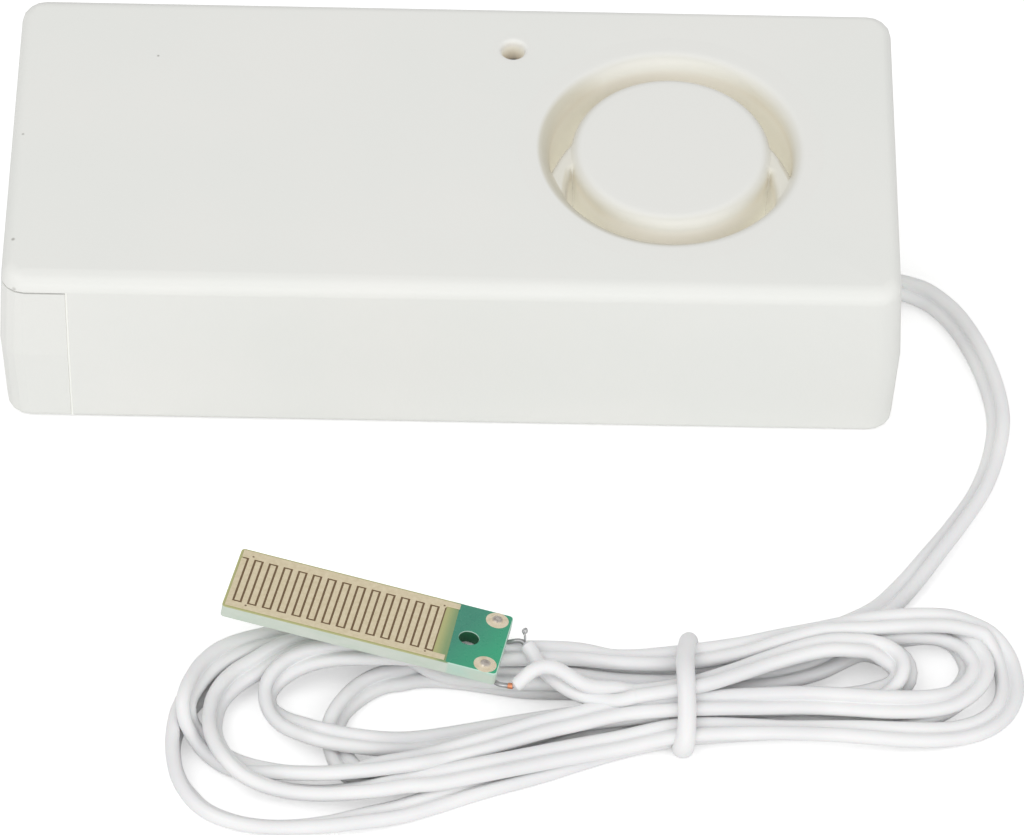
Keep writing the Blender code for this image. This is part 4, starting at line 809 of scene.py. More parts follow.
def ring_faces(rings: int, steps: int) -> list[tuple[int, ...]]:
    """The four-sided faces between rings of points that follow each other.

    Args:
        rings: how many rings.
        steps: points in each.

    Returns:
        The faces, as point numbers.
    """
    faces = []
    for i in range(0, (rings - 1) * steps, steps):
        for j in range(steps):
            k = (j + 1) % steps
            faces.append((i + j, i + k, i + steps + k, i + steps + j))
    return faces


def through(points: np.ndarray, step: float) -> np.ndarray:
    """Runs a smooth curve through points, at a pace that suits their spacing.

    Args:
        points: one row for each point; its first three columns are its place.
        step: about how far apart the new points are.

    Returns:
        The curve's points, with every column smoothed in the same way.
    """
    def between(p: np.ndarray, q: np.ndarray, start: float, end: float, t: float) -> np.ndarray:
        """The row at t on the line from p at start to q at end."""
        return (p * (end - t) + q * (t - start)) / (end - start)

    rows = np.vstack([2 * points[0] - points[1], points, 2 * points[-1] - points[-2]])
    curve = []
    for four in zip(rows[:-3], rows[1:-2], rows[2:-1], rows[3:]):
        gaps = [np.linalg.norm((q - p)[:3]) ** 0.5 for p, q in zip(four[:-1], four[1:])]
        knots = np.cumsum([0.0, *gaps])
        count = max(2, round(float(gaps[1]) ** 2 / step))
        for t in np.linspace(knots[1], knots[2], count, endpoint=False):
            first = [between(four[i], four[i + 1], knots[i], knots[i + 1], t) for i in range(3)]
            second = [between(first[i], first[i + 1], knots[i], knots[i + 2], t) for i in range(2)]
            curve.append(between(second[0], second[1], knots[1], knots[2], t))
    curve.append(points[-1])
    return np.array(curve)


def sweep(name: str, centres: np.ndarray, across: np.ndarray, over: np.ndarray, profile: np.ndarray,
          closed: bool = False) -> bpy.types.Mesh:
    """Runs a closed profile along a line.

    Args:
        name: the mesh's name.
        centres: the line's points.
        across: for each point, the way that the profile's first axis lies.
        over: for each point, the way of its second axis.
        profile: the profile's points, the same for the whole line or one set for each point.
        closed: whether the line is a loop.

    Returns:
        The mesh.
    """
    shapes = profile if profile.ndim == 3 else np.repeat(profile[None], len(centres), axis=0)
    rings = centres[:, None] + across[:, None] * shapes[:, :, :1] + over[:, None] * shapes[:, :, 1:]
    count, size = rings.shape[:2]
    faces = ring_faces(count, size)
    last = (count - 1) * size
    if closed:
        faces += [(last + j, last + (j + 1) % size, (j + 1) % size, j) for j in range(size)]
    else:
        faces += [tuple(range(size)), tuple(range(last, last + size))]
    return mesh_of(name, rings.reshape(-1, 3), faces)


def sides(centres: np.ndarray, lift: Union[float, np.ndarray] = 0.0) -> tuple[np.ndarray, np.ndarray]:
    """The right-hand way and the upper way of a line that mostly lies level.

    Args:
        centres: the line's points.
        lift: by how many degrees its right-hand side is raised, everywhere or at each point.

    Returns:
        For each point the way to its right and the way out of its upper side.
    """
    ahead = np.gradient(centres, axis=0)
    ahead /= np.linalg.norm(ahead, axis=1)[:, None]
    right = np.stack([ahead[:, 1], -ahead[:, 0], np.zeros(len(centres))], axis=1)
    right /= np.linalg.norm(right, axis=1)[:, None]
    above = np.cross(right, ahead)
    turn = np.reshape(np.radians(lift), (-1, 1))
    return right * np.cos(turn) + above * np.sin(turn), above * np.cos(turn) - right * np.sin(turn)


def circle(radius: float, steps: int) -> np.ndarray:
    """The points of a circle about the origin.

    Args:
        radius: its radius.
        steps: how many points.

    Returns:
        The points, one row each.
    """
    turn = np.linspace(0, 2 * math.pi, steps, endpoint=False)
    return radius * np.stack([np.cos(turn), np.sin(turn)], axis=1)


def round_tube(name: str, points: Sequence[Point], radius: float, material: bpy.types.Material, tip: float,
               step: float = 0.5 * MM, steps: int = 12) -> bpy.types.Object:
    """A round tube through points, both its ends rounded off.

    Args:
        name: the piece's name.
        points: what it runs through, in millimetres.
        radius: its radius.
        material: its finish.
        tip: how long the rounding at each end is.
        step: how far apart its rings are.
        steps: points in a ring.

    Returns:
        The piece.
    """
    line = through(np.array(points) * MM, step)
    run = np.concatenate([[0.0], np.cumsum(np.linalg.norm(np.diff(line, axis=0), axis=1))])
    room = np.minimum(run, run[-1] - run)
    share = np.sqrt(np.clip(1 - (1 - np.clip(room / tip, 0, 1)) ** 2, 0.02, 1))
    right, above = sides(line)
    shape = circle(radius, steps)[None] * share[:, None, None]
    return new_object(name, sweep(name, line, right, above, shape), material)


def soften(thing: bpy.types.Object, width: float, angle: float = 30.0) -> None:
    """Rounds a piece's edges off.

    Args:
        thing: the piece.
        width: how wide the rounding is.
        angle: edges flatter than this, in degrees, stay.
    """
    bevel = thing.modifiers.new("soft_edge", "BEVEL")
    bevel.width = width
    bevel.segments = 2
    bevel.limit_method = "ANGLE"
    bevel.angle_limit = math.radians(angle)


def plate(name: str, outline: Sequence[Pair], high: float, material: bpy.types.Material) -> bpy.types.Object:
    """A flat closed plate that stands on the board's face, its edges softened.

    Args:
        name: the piece's name.
        outline: the corners in the plate's plane, in metres.
        high: its upper face.
        material: its finish.

    Returns:
        The piece.
    """
    count = len(outline)
    points = [(x, y, z) for z in (0.0, high) for x, y in outline]
    faces = [tuple(reversed(range(count))), tuple(range(count, 2 * count)), *ring_faces(2, count)]
    thing = new_object(name, mesh_of(name, points, faces), material)
    soften(thing, 0.05 * MM, 50)
    return thing


# Cord


@dataclass
class TwinCord:
    """The flat twin cord: two round sheaths side by side, in one line from the housing to where they split.

    The hank is lifted a little where the tie gathers it.
    """

    lobe: float = 0.875 * MM
    web_angle: float = 24.0
    step: float = 0.85 * MM
    arc_points: int = 13
    tie_x: float = 29.8 * MM
    tie_lift: float = 0.3 * MM
    tie_reach: float = 7.0 * MM
    hank_from: float = -50 * MM

    def profile(self) -> np.ndarray:
        """The figure-eight outline of the cord, cut across.

        Returns:
            Its points in metres.
        """
        web = math.radians(self.web_angle)
        turn = np.linspace(-math.pi + web, math.pi - web, self.arc_points)
        right = self.lobe * np.stack([1 + np.cos(turn), np.sin(turn)], axis=1)
        return np.vstack([right, -right])

    def line(self) -> tuple[np.ndarray, np.ndarray]:
        """The cord's middle line, raised a little under the tie.

        Returns:
            Its points in metres and the lift of the right-hand sheath in degrees at each.
        """
        rows = through(np.array(CORD_ROUTE, float) * (MM, MM, MM, 1), self.step)
        middle, lift = rows[:, :3], rows[:, 3]
        bundle = np.exp(-((middle[:, 0] - self.tie_x) / self.tie_reach) ** 2)
        middle[:, 2] += self.tie_lift * bundle * (middle[:, 1] < self.hank_from)
        return middle, lift

    def build(self, finish: Finish, riders: Sequence[bpy.types.Object]) -> bpy.types.Object:
        """Args:
            finish: its finish.
            riders: the separate pieces on it; not used.

        Returns:
            The cord.
        """
        middle, lift = self.line()
        right, above = sides(middle, lift)
        mesh = sweep("twin_cord", middle, right, above, self.profile())
        cord = new_object("twin_cord", mesh, finish.build())
        settle(cord, "white_vinyl", "sensor_cord", "cord_hank")
        return cord


@dataclass
class HankTie:
    """The round vinyl tie about the hank's waist, flattened under it and widest at its near end."""

    radius: float = 1.12 * MM
    step: float = 0.45 * MM
    steps: int = 24
    under: float = 0.16 * MM
    flare: float = 0.22
    flare_at: Pair = (-76.4 * MM, 1.8 * MM)
    flare_reach: Pair = (1.6 * MM, 1.8 * MM)
    loop: tuple[Point, ...] = (
        (29.7, -62.05, 0.35), (29.8, -61.10, 1.05), (29.8, -61.00, 2.4), (29.7, -61.75, 3.75),
        (29.5, -63.00, 4.95), (29.3, -64.85, 6.05), (29.1, -66.85, 6.75), (29.1, -69.05, 7.25),
        (29.2, -71.05, 6.95), (29.3, -73.25, 5.9), (29.3, -75.25, 4.9), (29.2, -76.55, 3.7),
        (29.0, -76.95, 2.4), (28.9, -76.40, 1.15), (29.0, -75.45, 0.35), (29.2, -73.05, 0.22),
        (29.4, -69.05, 0.22), (29.6, -65.05, 0.22),
    )

    def build(self, finish: Finish) -> bpy.types.Object:
        """Makes the tie.

        Args:
            finish: its finish.

        Returns:
            The tie.
        """
        points = np.array(self.loop) * MM
        line = through(np.vstack([points, points[:1]]), self.step)[:-1]
        ahead = np.roll(line, -1, axis=0) - np.roll(line, 1, axis=0)
        ahead /= np.linalg.norm(ahead, axis=1)[:, None]
        across = np.array([1.0, 0, 0]) - ahead[:, :1] * ahead
        across /= np.linalg.norm(across, axis=1)[:, None]
        over = np.cross(ahead, across)
        shape = np.repeat(circle(self.radius, self.steps)[None], len(line), axis=0)
        flat = np.clip((line[:, 2] - self.under) / self.radius, 0, 1)
        shape[:, :, 1] *= np.maximum(flat, self.under / self.radius)[:, None]
        near_end = np.exp(-(((line[:, 1:] - self.flare_at) / self.flare_reach) ** 2).sum(axis=1))
        shape[:, :, 0] *= (1 + self.flare * near_end)[:, None]
        mesh = sweep("hank_tie_loop", line, across, over, shape, closed=True)
        return settle(new_object("hank_tie_loop", mesh, finish.build()), "white_vinyl", "hank_tie")


@dataclass
class LooseCores:
    """The two single cores between the cord's split and the board, each with its bare, partly frayed end."""

    radius: float = 0.882 * MM
    sheath_tip: float = 0.5 * MM
    bare: float = 0.3 * MM
    copper_radius: float = 0.375 * MM
    curl_radius: float = 0.135 * MM
    near: tuple[Point, ...] = (
        (24.79, -69.94, 4.42), (23.85, -70.07, 4.43), (22.88, -70.20, 4.45), (21.8, -70.24, 4.72),
        (20.6, -70.32, 5.12), (19.3, -70.60, 5.5), (17.8, -70.85, 6.0), (16.4, -70.75, 6.6),
        (14.9, -70.15, 7.3), (13.5, -69.45, 7.6), (12.1, -69.15, 7.5), (10.8, -69.30, 7.0),
        (9.7, -69.95, 6.35), (8.9, -70.50, 5.85), (8.4, -70.78, 5.6),
    )
    far: tuple[Point, ...] = (
        (25.01, -71.36, 5.42), (24.05, -71.53, 5.37), (23.12, -71.70, 5.31), (22.1, -71.92, 5.05),
        (20.8, -72.00, 4.75), (19.3, -71.90, 4.7), (17.4, -71.50, 4.65), (15.5, -70.65, 4.7),
        (13.8, -69.40, 4.8), (12.6, -68.30, 4.95), (11.7, -67.40, 5.2), (11.1, -66.45, 5.55),
        (10.4, -65.30, 5.95), (9.75, -64.35, 6.15),
    )
    near_bare: tuple[Point, ...] = (
        (9.0, -70.40, 5.9), (8.2, -70.70, 5.6), (7.4, -70.55, 5.6), (6.8, -70.50, 5.65),
        (6.2, -70.20, 5.75), (5.6, -69.40, 5.95), (5.2, -68.60, 6.2),
    )
    far_bare: tuple[Point, ...] = (
        (10.1, -64.85, 6.0), (9.4, -64.15, 6.1), (8.8, -63.95, 5.95), (8.1, -63.85, 5.65),
        (7.4, -63.75, 5.35), (6.8, -63.60, 5.15),
    )
    copper: tuple[Point, ...] = ((8.5, -70.72, 5.62), (8.1, -70.66, 5.6), (7.6, -70.56, 5.62))
    curl: tuple[Point, ...] = (
        (9.75, -64.30, 6.3), (9.70, -63.75, 6.9), (9.45, -63.50, 7.25), (9.72, -63.30, 7.5),
        (9.98, -63.50, 7.3), (9.72, -63.68, 7.1), (9.52, -63.42, 7.35), (9.85, -63.25, 7.45),
        (9.95, -63.60, 7.15),
    )

    def build(self, sheath: Finish, tin: Finish, bright: Finish) -> list[bpy.types.Object]:
        """Makes both cores and their bare ends.

        Args:
            sheath: the sheaths' finish.
            tin: the tinned strands' finish.
            bright: the finish of strands whose tin is gone.

        Returns:
            The pieces.
        """
        vinyl, tinned = sheath.build(), tin.build()
        made = []
        for side, core, end in (("near", self.near, self.near_bare), ("far", self.far, self.far_bare)):
            wire = round_tube(f"core_{side}", core, self.radius, vinyl, self.sheath_tip, steps=20)
            strands = round_tube(f"strands_{side}", end, self.bare, tinned, self.bare)
            made += [settle(wire, "white_vinyl", f"probe_wire_{side}"),
                     settle(strands, "tinned_copper", f"bare_wire_{side}")]
        tip = round_tube("strands_near_bright", self.copper, self.copper_radius, bright.build(), 0.2 * MM,
                         0.2 * MM)
        curl = round_tube("strand_far_curl", self.curl, self.curl_radius, tinned, 0.1 * MM, 0.12 * MM, 8)
        return made + [settle(tip, "copper"), settle(curl, "tinned_copper")]


# Probe board


@dataclass
class ProbeBoard:
    """The probe board: slab with a through hole, lacquered end, two interleaved combs and soldered pads."""

    place: Point = (-9.24 * MM, -62.21 * MM, 9.0 * MM)
    turn: Point = (math.radians(-11.0), math.radians(6.0), math.radians(-12.1))
    length: float = 34.1 * MM
    width: float = 11.1 * MM
    thickness: float = 1.7 * MM
    corner: float = 0.45 * MM
    soft_edge: float = 0.06 * MM
    hole: Point = (12.6 * MM, -0.26 * MM, 1.25 * MM)
    mask_from: float = 10.4 * MM
    mask_slant: float = 0.35 * MM
    mask_high: float = 0.035 * MM
    mask_sink: float = 0.01 * MM
    mask_inset: float = 0.1 * MM
    mask_clear: float = 0.03 * MM
    foil_high: float = 0.07 * MM
    pads: tuple[tuple[str, float, float], ...] = (
        ("far", 15.25 * MM, 4.1 * MM), ("near", 15.4 * MM, -4.2 * MM),
    )
    pad_radius: float = 1.4 * MM
    dome: float = 0.34 * MM
    pits: tuple[Pair, ...] = ((-15.4, 4.4), (-14.3, -4.6), (8.6, 4.35), (8.0, -4.6))
    fingers: int = 14
    pitch: float = 1.84 * MM
    gap: float = 0.25 * MM
    comb_start: float = -16.75 * MM
    comb_end: float = 9.0 * MM
    tab_end: float = 10.5 * MM
    near_tip: float = 3.75 * MM
    far_tip: float = -4.0 * MM
    margin: float = 0.25 * MM
    tab: float = 0.95 * MM

    def outline(self, start: float, inset: float, round_start: bool) -> list[Pair]:
        """A rectangle with rounded corners that reaches to the board's right end.

        Args:
            start: where it starts along X.
            inset: how far inside the board's edge it stays.
            round_start: whether its left corners are rounded too.

        Returns:
            Its corners.
        """
        high_x, high_y = self.length / 2 - inset, self.width / 2 - inset
        corner = self.corner
        points = []
        for sign_x, sign_y, angle in ((1, 1, 0), (-1, 1, 90), (-1, -1, 180), (1, -1, 270)):
            if sign_x < 0 and not round_start:
                points.append((start + (self.mask_slant if sign_y < 0 else 0), sign_y * high_y))
                continue
            x = high_x - corner if sign_x > 0 else start + corner
            for share in range(5):
                a = math.radians(angle + share * 22.5)
                points.append((x + corner * math.cos(a), sign_y * (high_y - corner) + corner * math.sin(a)))
        return points

    def pierced(self, name: str, outline: list[Pair], low: float, high: float,
                material: bpy.types.Material, clear: float = 0.0) -> bpy.types.Object:
        """A plate with the board's round hole through it.

        Args:
            name: its name.
            outline: its corners.
            low: its lower face.
            high: its upper face.
            material: its finish.
            clear: how far it stays away from the hole's wall.

        Returns:
            The piece.
        """
        work = bmesh.new()
        x, y, radius = self.hole
        ring = [(x + p[0], y + p[1]) for p in circle(radius + clear, 40)]
        rings = [[work.verts.new((*p, high)) for p in points] for points in (outline, ring)]
        edges = [work.edges.new((ring[i - 1], ring[i])) for ring in rings for i in range(len(ring))]
        bmesh.ops.triangle_fill(work, use_beauty=True, use_dissolve=False, edges=edges)
        bmesh.ops.recalc_face_normals(work, faces=work.faces)
        made = bmesh.ops.extrude_face_region(work, geom=list(work.faces))
        for vertex in (item for item in made["geom"] if isinstance(item, bmesh.types.BMVert)):
            vertex.co.z = low
        bmesh.ops.recalc_face_normals(work, faces=work.faces)
        mesh = bpy.data.meshes.new(name)
        work.to_mesh(mesh)
        work.free()
        smooth(mesh)
        return new_object(name, mesh, material)

    def comb(self, near_bus: bool) -> list[Pair]:
        """One comb's outline: a bus along one edge, a tab at its right end, and its fingers.

        Args:
            near_bus: whether it is the comb whose bus lies along the near edge.

        Returns:
            Its corners.
        """
        edge = self.width / 2 - self.margin
        finger = self.pitch / 2 - self.gap
        sign = -1 if near_bus else 1
        line = (self.far_tip - self.gap) if near_bus else (self.near_tip + self.gap)
        tip = self.near_tip if near_bus else self.far_tip
        step = 0.0 if near_bus else self.pitch / 2
        tab = sign * edge - sign * self.tab
        outline = [(self.comb_start, sign * edge), (self.tab_end, sign * edge), (self.tab_end, tab),
                   (self.comb_end, tab)]
        for index in reversed(range(self.fingers)):
            left = self.comb_start + step + index * self.pitch
            outline += [(left + finger, line), (left + finger, tip), (left, tip), (left, line)]
        if not near_bus:
            outline.append((self.comb_start, line))
        return outline

    def build(self) -> list[bpy.types.Object]:
        """Makes the board and everything on it.

        Returns:
            The pieces.
        """
        pose = Matrix.Translation(self.place) @ Euler(self.turn).to_matrix().to_4x4()
        slab = self.pierced("probe_slab", self.outline(-self.length / 2, 0.0, True), -self.thickness, 0.0,
                            Laminate("probe_laminate").build())
        soften(slab, self.soft_edge)
        mask = self.pierced("probe_mask", self.outline(self.mask_from, self.mask_inset, False),
                            -self.mask_sink, self.mask_high, SolderMask("probe_mask").build(),
                            self.mask_clear)
        parts = [settle(slab, "green_laminate", "probe_board", pose=pose),
                 settle(mask, "green_laminate", pose=pose)]
        foil = CombFoil("comb_foil_worn").build()
        for side, near_bus in (("near", True), ("far", False)):
            comb = plate(f"comb_{side}_foil", self.comb(near_bus), self.foil_high, foil)
            parts.append(settle(comb, "comb_foil", f"comb_{side}", pose=pose))
        for side, x, y in self.pads:
            parts.append(settle(self.pad(side, x, y), "solder", f"solder_pad_{side}", pose=pose))
        for index, (x, y) in enumerate(self.pits, 1):
            parts.append(settle(self.dot(index, x * MM, y * MM), "comb_foil", pose=pose))
        return parts

    def turned(self, name: str, x: float, y: float, profile: Sequence[Pair],
               material: bpy.types.Material, steps: int = 40) -> bpy.types.Object:
        """A piece turned about an upright line: rings of a profile closed at both ends.

        Args:
            name: its name.
            x: the line's place.
            y: the line's place.
            profile: radius and height of each ring, from the middle of the top outwards and down.
            material: its finish.
            steps: points in a ring.

        Returns:
            The piece.
        """
        rings = len(profile)
        points = [(x + p[0], y + p[1], z) for radius, z in profile for p in circle(radius, steps)]
        faces = [tuple(range(steps)), tuple(range((rings - 1) * steps, rings * steps))]
        faces += ring_faces(rings, steps)
        return new_object(name, mesh_of(name, points, faces, 50), material)

    def pad(self, side: str, x: float, y: float) -> bpy.types.Object:
        """One soldered pad: a flat ring, a dimpled fillet and a low grey dome.

        Args:
            side: which pad, near or far.
            x: its middle along the board, in metres.
            y: its middle across the board.

        Returns:
            The pad.
        """
        foil, dome = self.foil_high, self.dome
        profile = [(0.08 * MM, foil + dome * 0.8), (0.3 * MM, foil + dome), (0.5 * MM, foil + dome * 0.85),
                   (0.66 * MM, foil + dome * 0.4), (0.8 * MM, foil + 0.05 * MM), (1.0 * MM, foil + 0.01 * MM),
                   (self.pad_radius - 0.06 * MM, foil), (self.pad_radius, foil * 0.6), (self.pad_radius, 0.0)]
        joint = SolderJoint(f"pad_{side}", (x, y, foil + dome / 2)).build()
        return self.turned(f"pad_{side}_solder", x, y, profile, joint)

    def dot(self, index: int, x: float, y: float) -> bpy.types.Object:
        """One small dark pit mark on a comb's bus.

        Args:
            index: the mark's number.
            x: its place along the board, in metres.
            y: its place across the board.

        Returns:
            The mark.
        """
        high = self.foil_high
        profile = [(0.03 * MM, high + 0.006 * MM), (0.08 * MM, high + 0.012 * MM),
                   (0.13 * MM, high + 0.008 * MM), (0.15 * MM, high - 0.02 * MM)]
        pit = Painted(f"comb_dot_{index}", linear(120, 98, 70), linear(98, 78, 54)).build()
        return self.turned(f"comb_dot_{index}", x, y, profile, pit, 24)


# Housing and what it holds


class Role(Enum):
    """What a carried-over CAD node is made of, named after its material slot."""

    WHITE_PLASTIC = "white_plastic"
    PLATED_STEEL = "plated_steel"
    BATTERY_JACKET = "battery_jacket"
    BLACK_VINYL = "black_vinyl"
    RED_VINYL = "red_vinyl"
    WHITE_VINYL = "white_vinyl"
    GREEN_LAMINATE = "green_laminate"
    BLACK_EPOXY = "black_epoxy"
    FERRITE = "ferrite"
    COPPER = "copper"
    BRASS = "brass"
    CAPACITOR_SLEEVE = "capacitor_sleeve"
    RESISTOR_BODY = "resistor_body"
    RED_LENS = "red_lens"


@dataclass
class Innards:
    """The carried-over CAD nodes inside the housing, each with a finish of its own kind."""

    roles: dict[Role, tuple[str, ...]] = field(default_factory=lambda: {
        Role.WHITE_PLASTIC: ("piezo_retainer",),
        Role.PLATED_STEEL: ("battery_terminal_negative", "battery_terminal_positive",
                            *(f"board_screw_{number}" for number in (1, 2)),
                            *(f"cover_screw_{number}" for number in (1, 2, 3, 4))),
        Role.BATTERY_JACKET: ("nine_volt_battery",),
        Role.BLACK_VINYL: ("battery_lead_black", "sounder_lead_black", "snap_connector"),
        Role.RED_VINYL: ("battery_lead_red", "sounder_lead_red"),
        Role.WHITE_VINYL: ("cord_tail", "cord_stop", "cord_core_far", "cord_core_near"),
        Role.GREEN_LAMINATE: ("circuit_board",),
        Role.BLACK_EPOXY: ("control_chip", "transistor"),
        Role.FERRITE: ("coil_core",),
        Role.COPPER: ("coil_winding",),
        Role.BRASS: ("piezo_disc",),
        Role.CAPACITOR_SLEEVE: ("capacitor",),
        Role.RESISTOR_BODY: ("resistor_1", "resistor_2", "resistor_3"),
        Role.RED_LENS: ("status_lamp",),
    })

    @staticmethod
    def finish(role: Role) -> Finish:
        """The finish of one role.

        Args:
            role: the kind of part.

        Returns:
            Its finish.
        """
        name = f"inner_{role.value}"
        return {
            Role.WHITE_PLASTIC: MouldedPlastic(name),
            Role.PLATED_STEEL: Metal(name, linear(196, 196, 194), linear(170, 170, 168)),
            Role.BATTERY_JACKET: Painted(name, linear(40, 41, 44), linear(32, 33, 36), 60),
            Role.BLACK_VINYL: Painted(name, linear(36, 36, 37), linear(28, 28, 29), 300),
            Role.RED_VINYL: Painted(name, linear(178, 32, 28), linear(160, 26, 22), 300),
            Role.WHITE_VINYL: SoftSheath(name),
            Role.GREEN_LAMINATE: Painted(name, linear(40, 112, 78), linear(34, 100, 70), 120),
            Role.BLACK_EPOXY: Painted(name, linear(40, 40, 41), linear(30, 30, 31), 700, (0.5, 0.65)),
            Role.FERRITE: Painted(name, linear(62, 62, 62), linear(50, 50, 50), 900, (0.6, 0.75)),
            Role.COPPER: Metal(name, linear(190, 112, 70), linear(170, 92, 54)),
            Role.BRASS: Metal(name, linear(212, 184, 118), linear(196, 166, 98), stretch=(1, 1, 1)),
            Role.CAPACITOR_SLEEVE: Painted(name, linear(38, 48, 92), linear(32, 40, 80), 200),
            Role.RESISTOR_BODY: Painted(name, linear(204, 184, 146), linear(190, 168, 130), 400),
            Role.RED_LENS: TintedLens(name),
        }[role]

    def dress(self, nodes: dict[str, bpy.types.Object]) -> None:
        """Gives each node its finish.

        Args:
            nodes: the CAD nodes by name.
        """
        for role, names in self.roles.items():
            material = self.finish(role).build()
            for name in names:
                put_on(nodes[name], material)


@dataclass(frozen=True)
class DepthShade:
    """Painted shade of the white plastic at one depth of an opening: depth in millimetres, painted colour,
    and painted glow.
    """

    depth: float
    colour: Colour
    glow: float


def depth_shades(*rows: tuple[float, int, int, int, float]) -> tuple[DepthShade, ...]:
    """Makes the painted shades of an opening.

    Args:
        *rows: for each its depth, its red, green and blue, and its painted glow.

    Returns:
        The painted shades.
    """
    return tuple(DepthShade(depth, linear(*tone), glow) for depth, *tone, glow in rows)


# Painted shade deep in the outlet's groove: depth, red, green, blue and painted glow.
DEEP_SHADE_ROWS = ((3.2, 221, 218, 207, 0.18), (6.3, 221, 219, 209, 0.27),
             (8.2, 221, 219, 209, 0.31), (12.0, 220, 218, 208, 0.38))


@dataclass(frozen=True)
class GroovePlastic:
    """The white plastic inside an opening, painted warm and darker with depth as painted shade, with a
    painted glow for the light that bounces between its walls.

    Its painted shade follows depth: in one way on the wall that faces the light in front, painted lighter, in
    another on the rim that faces away from the light at the left, painted darker, and in a third elsewhere.
    """

    name: str
    top: float
    middle: Pair
    outer: float
    deepest: float = 12.0
    lit_way: Point = (0.12, -0.99, 0.0)
    lit_span: Pair = (0.6, 0.99)
    turned_way: Point = (0.85, 0.5, 0.0)
    turned_span: Pair = (0.05, 0.3)
    # Painted shade by depth: sides for most walls, front painted lighter where a wall faces the light, turned
    # painted darker on the rim away from it.
    sides: tuple[DepthShade, ...] = depth_shades(
        (0.0, 231, 231, 227, 0.0), (0.3, 225, 224, 217, 0.0), (1.2, 221, 218, 206, 0.02),
        (2.2, 221, 216, 202, 0.1), *DEEP_SHADE_ROWS)
    front: tuple[DepthShade, ...] = depth_shades(
        (0.0, 231, 231, 227, 0.0), (0.4, 237, 237, 232, 0.02), (1.5, 240, 240, 235, 0.06),
        (2.2, 239, 237, 231, 0.12), (3.0, 235, 232, 225, 0.13), (4.0, 229, 226, 218, 0.13),
        (5.7, 222, 216, 205, 0.13), (12.0, 218, 214, 202, 0.28))
    turned: tuple[DepthShade, ...] = depth_shades(
        (0.0, 213, 210, 199, 0.0), (0.3, 207, 203, 187, 0.0), (1.0, 213, 208, 192, 0.02),
        (2.2, 220, 215, 202, 0.1), *DEEP_SHADE_ROWS)

    def painted_shades(self, sheet: Sheet, stops: Sequence[DepthShade]) -> tuple[Socket, Socket]:
        """Painted shade colour and painted glow of the surface at its depth below the outer face.

        Args:
            sheet: the material's node sheet.
            stops: the painted shades by depth.

        Returns:
            The colour and the glow.
        """
        share = sheet.span(sheet.axis("Z"), (self.top - self.deepest * MM, self.top), (1.0, 0.0))
        colour = sheet.ramp(share, [(stop.depth / self.deepest, stop.colour) for stop in stops])
        glow = sheet.ramp(share, [(stop.depth / self.deepest, (stop.glow,) * 3) for stop in stops])
        return colour, glow

    def build(self) -> bpy.types.Material:
        """Makes the material.

        Returns:
            The finished material.
        """
        sheet = Sheet(self.name)
        colour, glow = self.painted_shades(sheet, self.sides)
        front = sheet.span(sheet.facing(self.lit_way), self.lit_span, (0.0, 1.0))
        turned = sheet.span(sheet.facing(self.turned_way), self.turned_span, (0.0, 1.0))
        rim = sheet.span(sheet.away(self.middle), (self.outer - 0.5 * MM, self.outer), (0.0, 1.0))
        turned = sheet.math("MULTIPLY", turned, rim)
        for share, stops in ((front, self.front), (turned, self.turned)):
            next_colour, next_glow = self.painted_shades(sheet, stops)
            colour, glow = sheet.blend(share, colour, next_colour), sheet.blend(share, glow, next_glow)
        sheet.colour(colour)
        # Painted glow: emission lights the walls as the light bouncing between them would.
        sheet.join(colour, sheet.shader.inputs["Emission Color"])
        sheet.join(glow, sheet.shader.inputs["Emission Strength"])
        sheet.gloss(sheet.noise(240, 2), 0.42, 0.52)
        sheet.relief(sheet.noise(2600, 3), 0.012 * MM)
        sheet.set(Specular_IOR_Level=0.4)
        return sheet.material


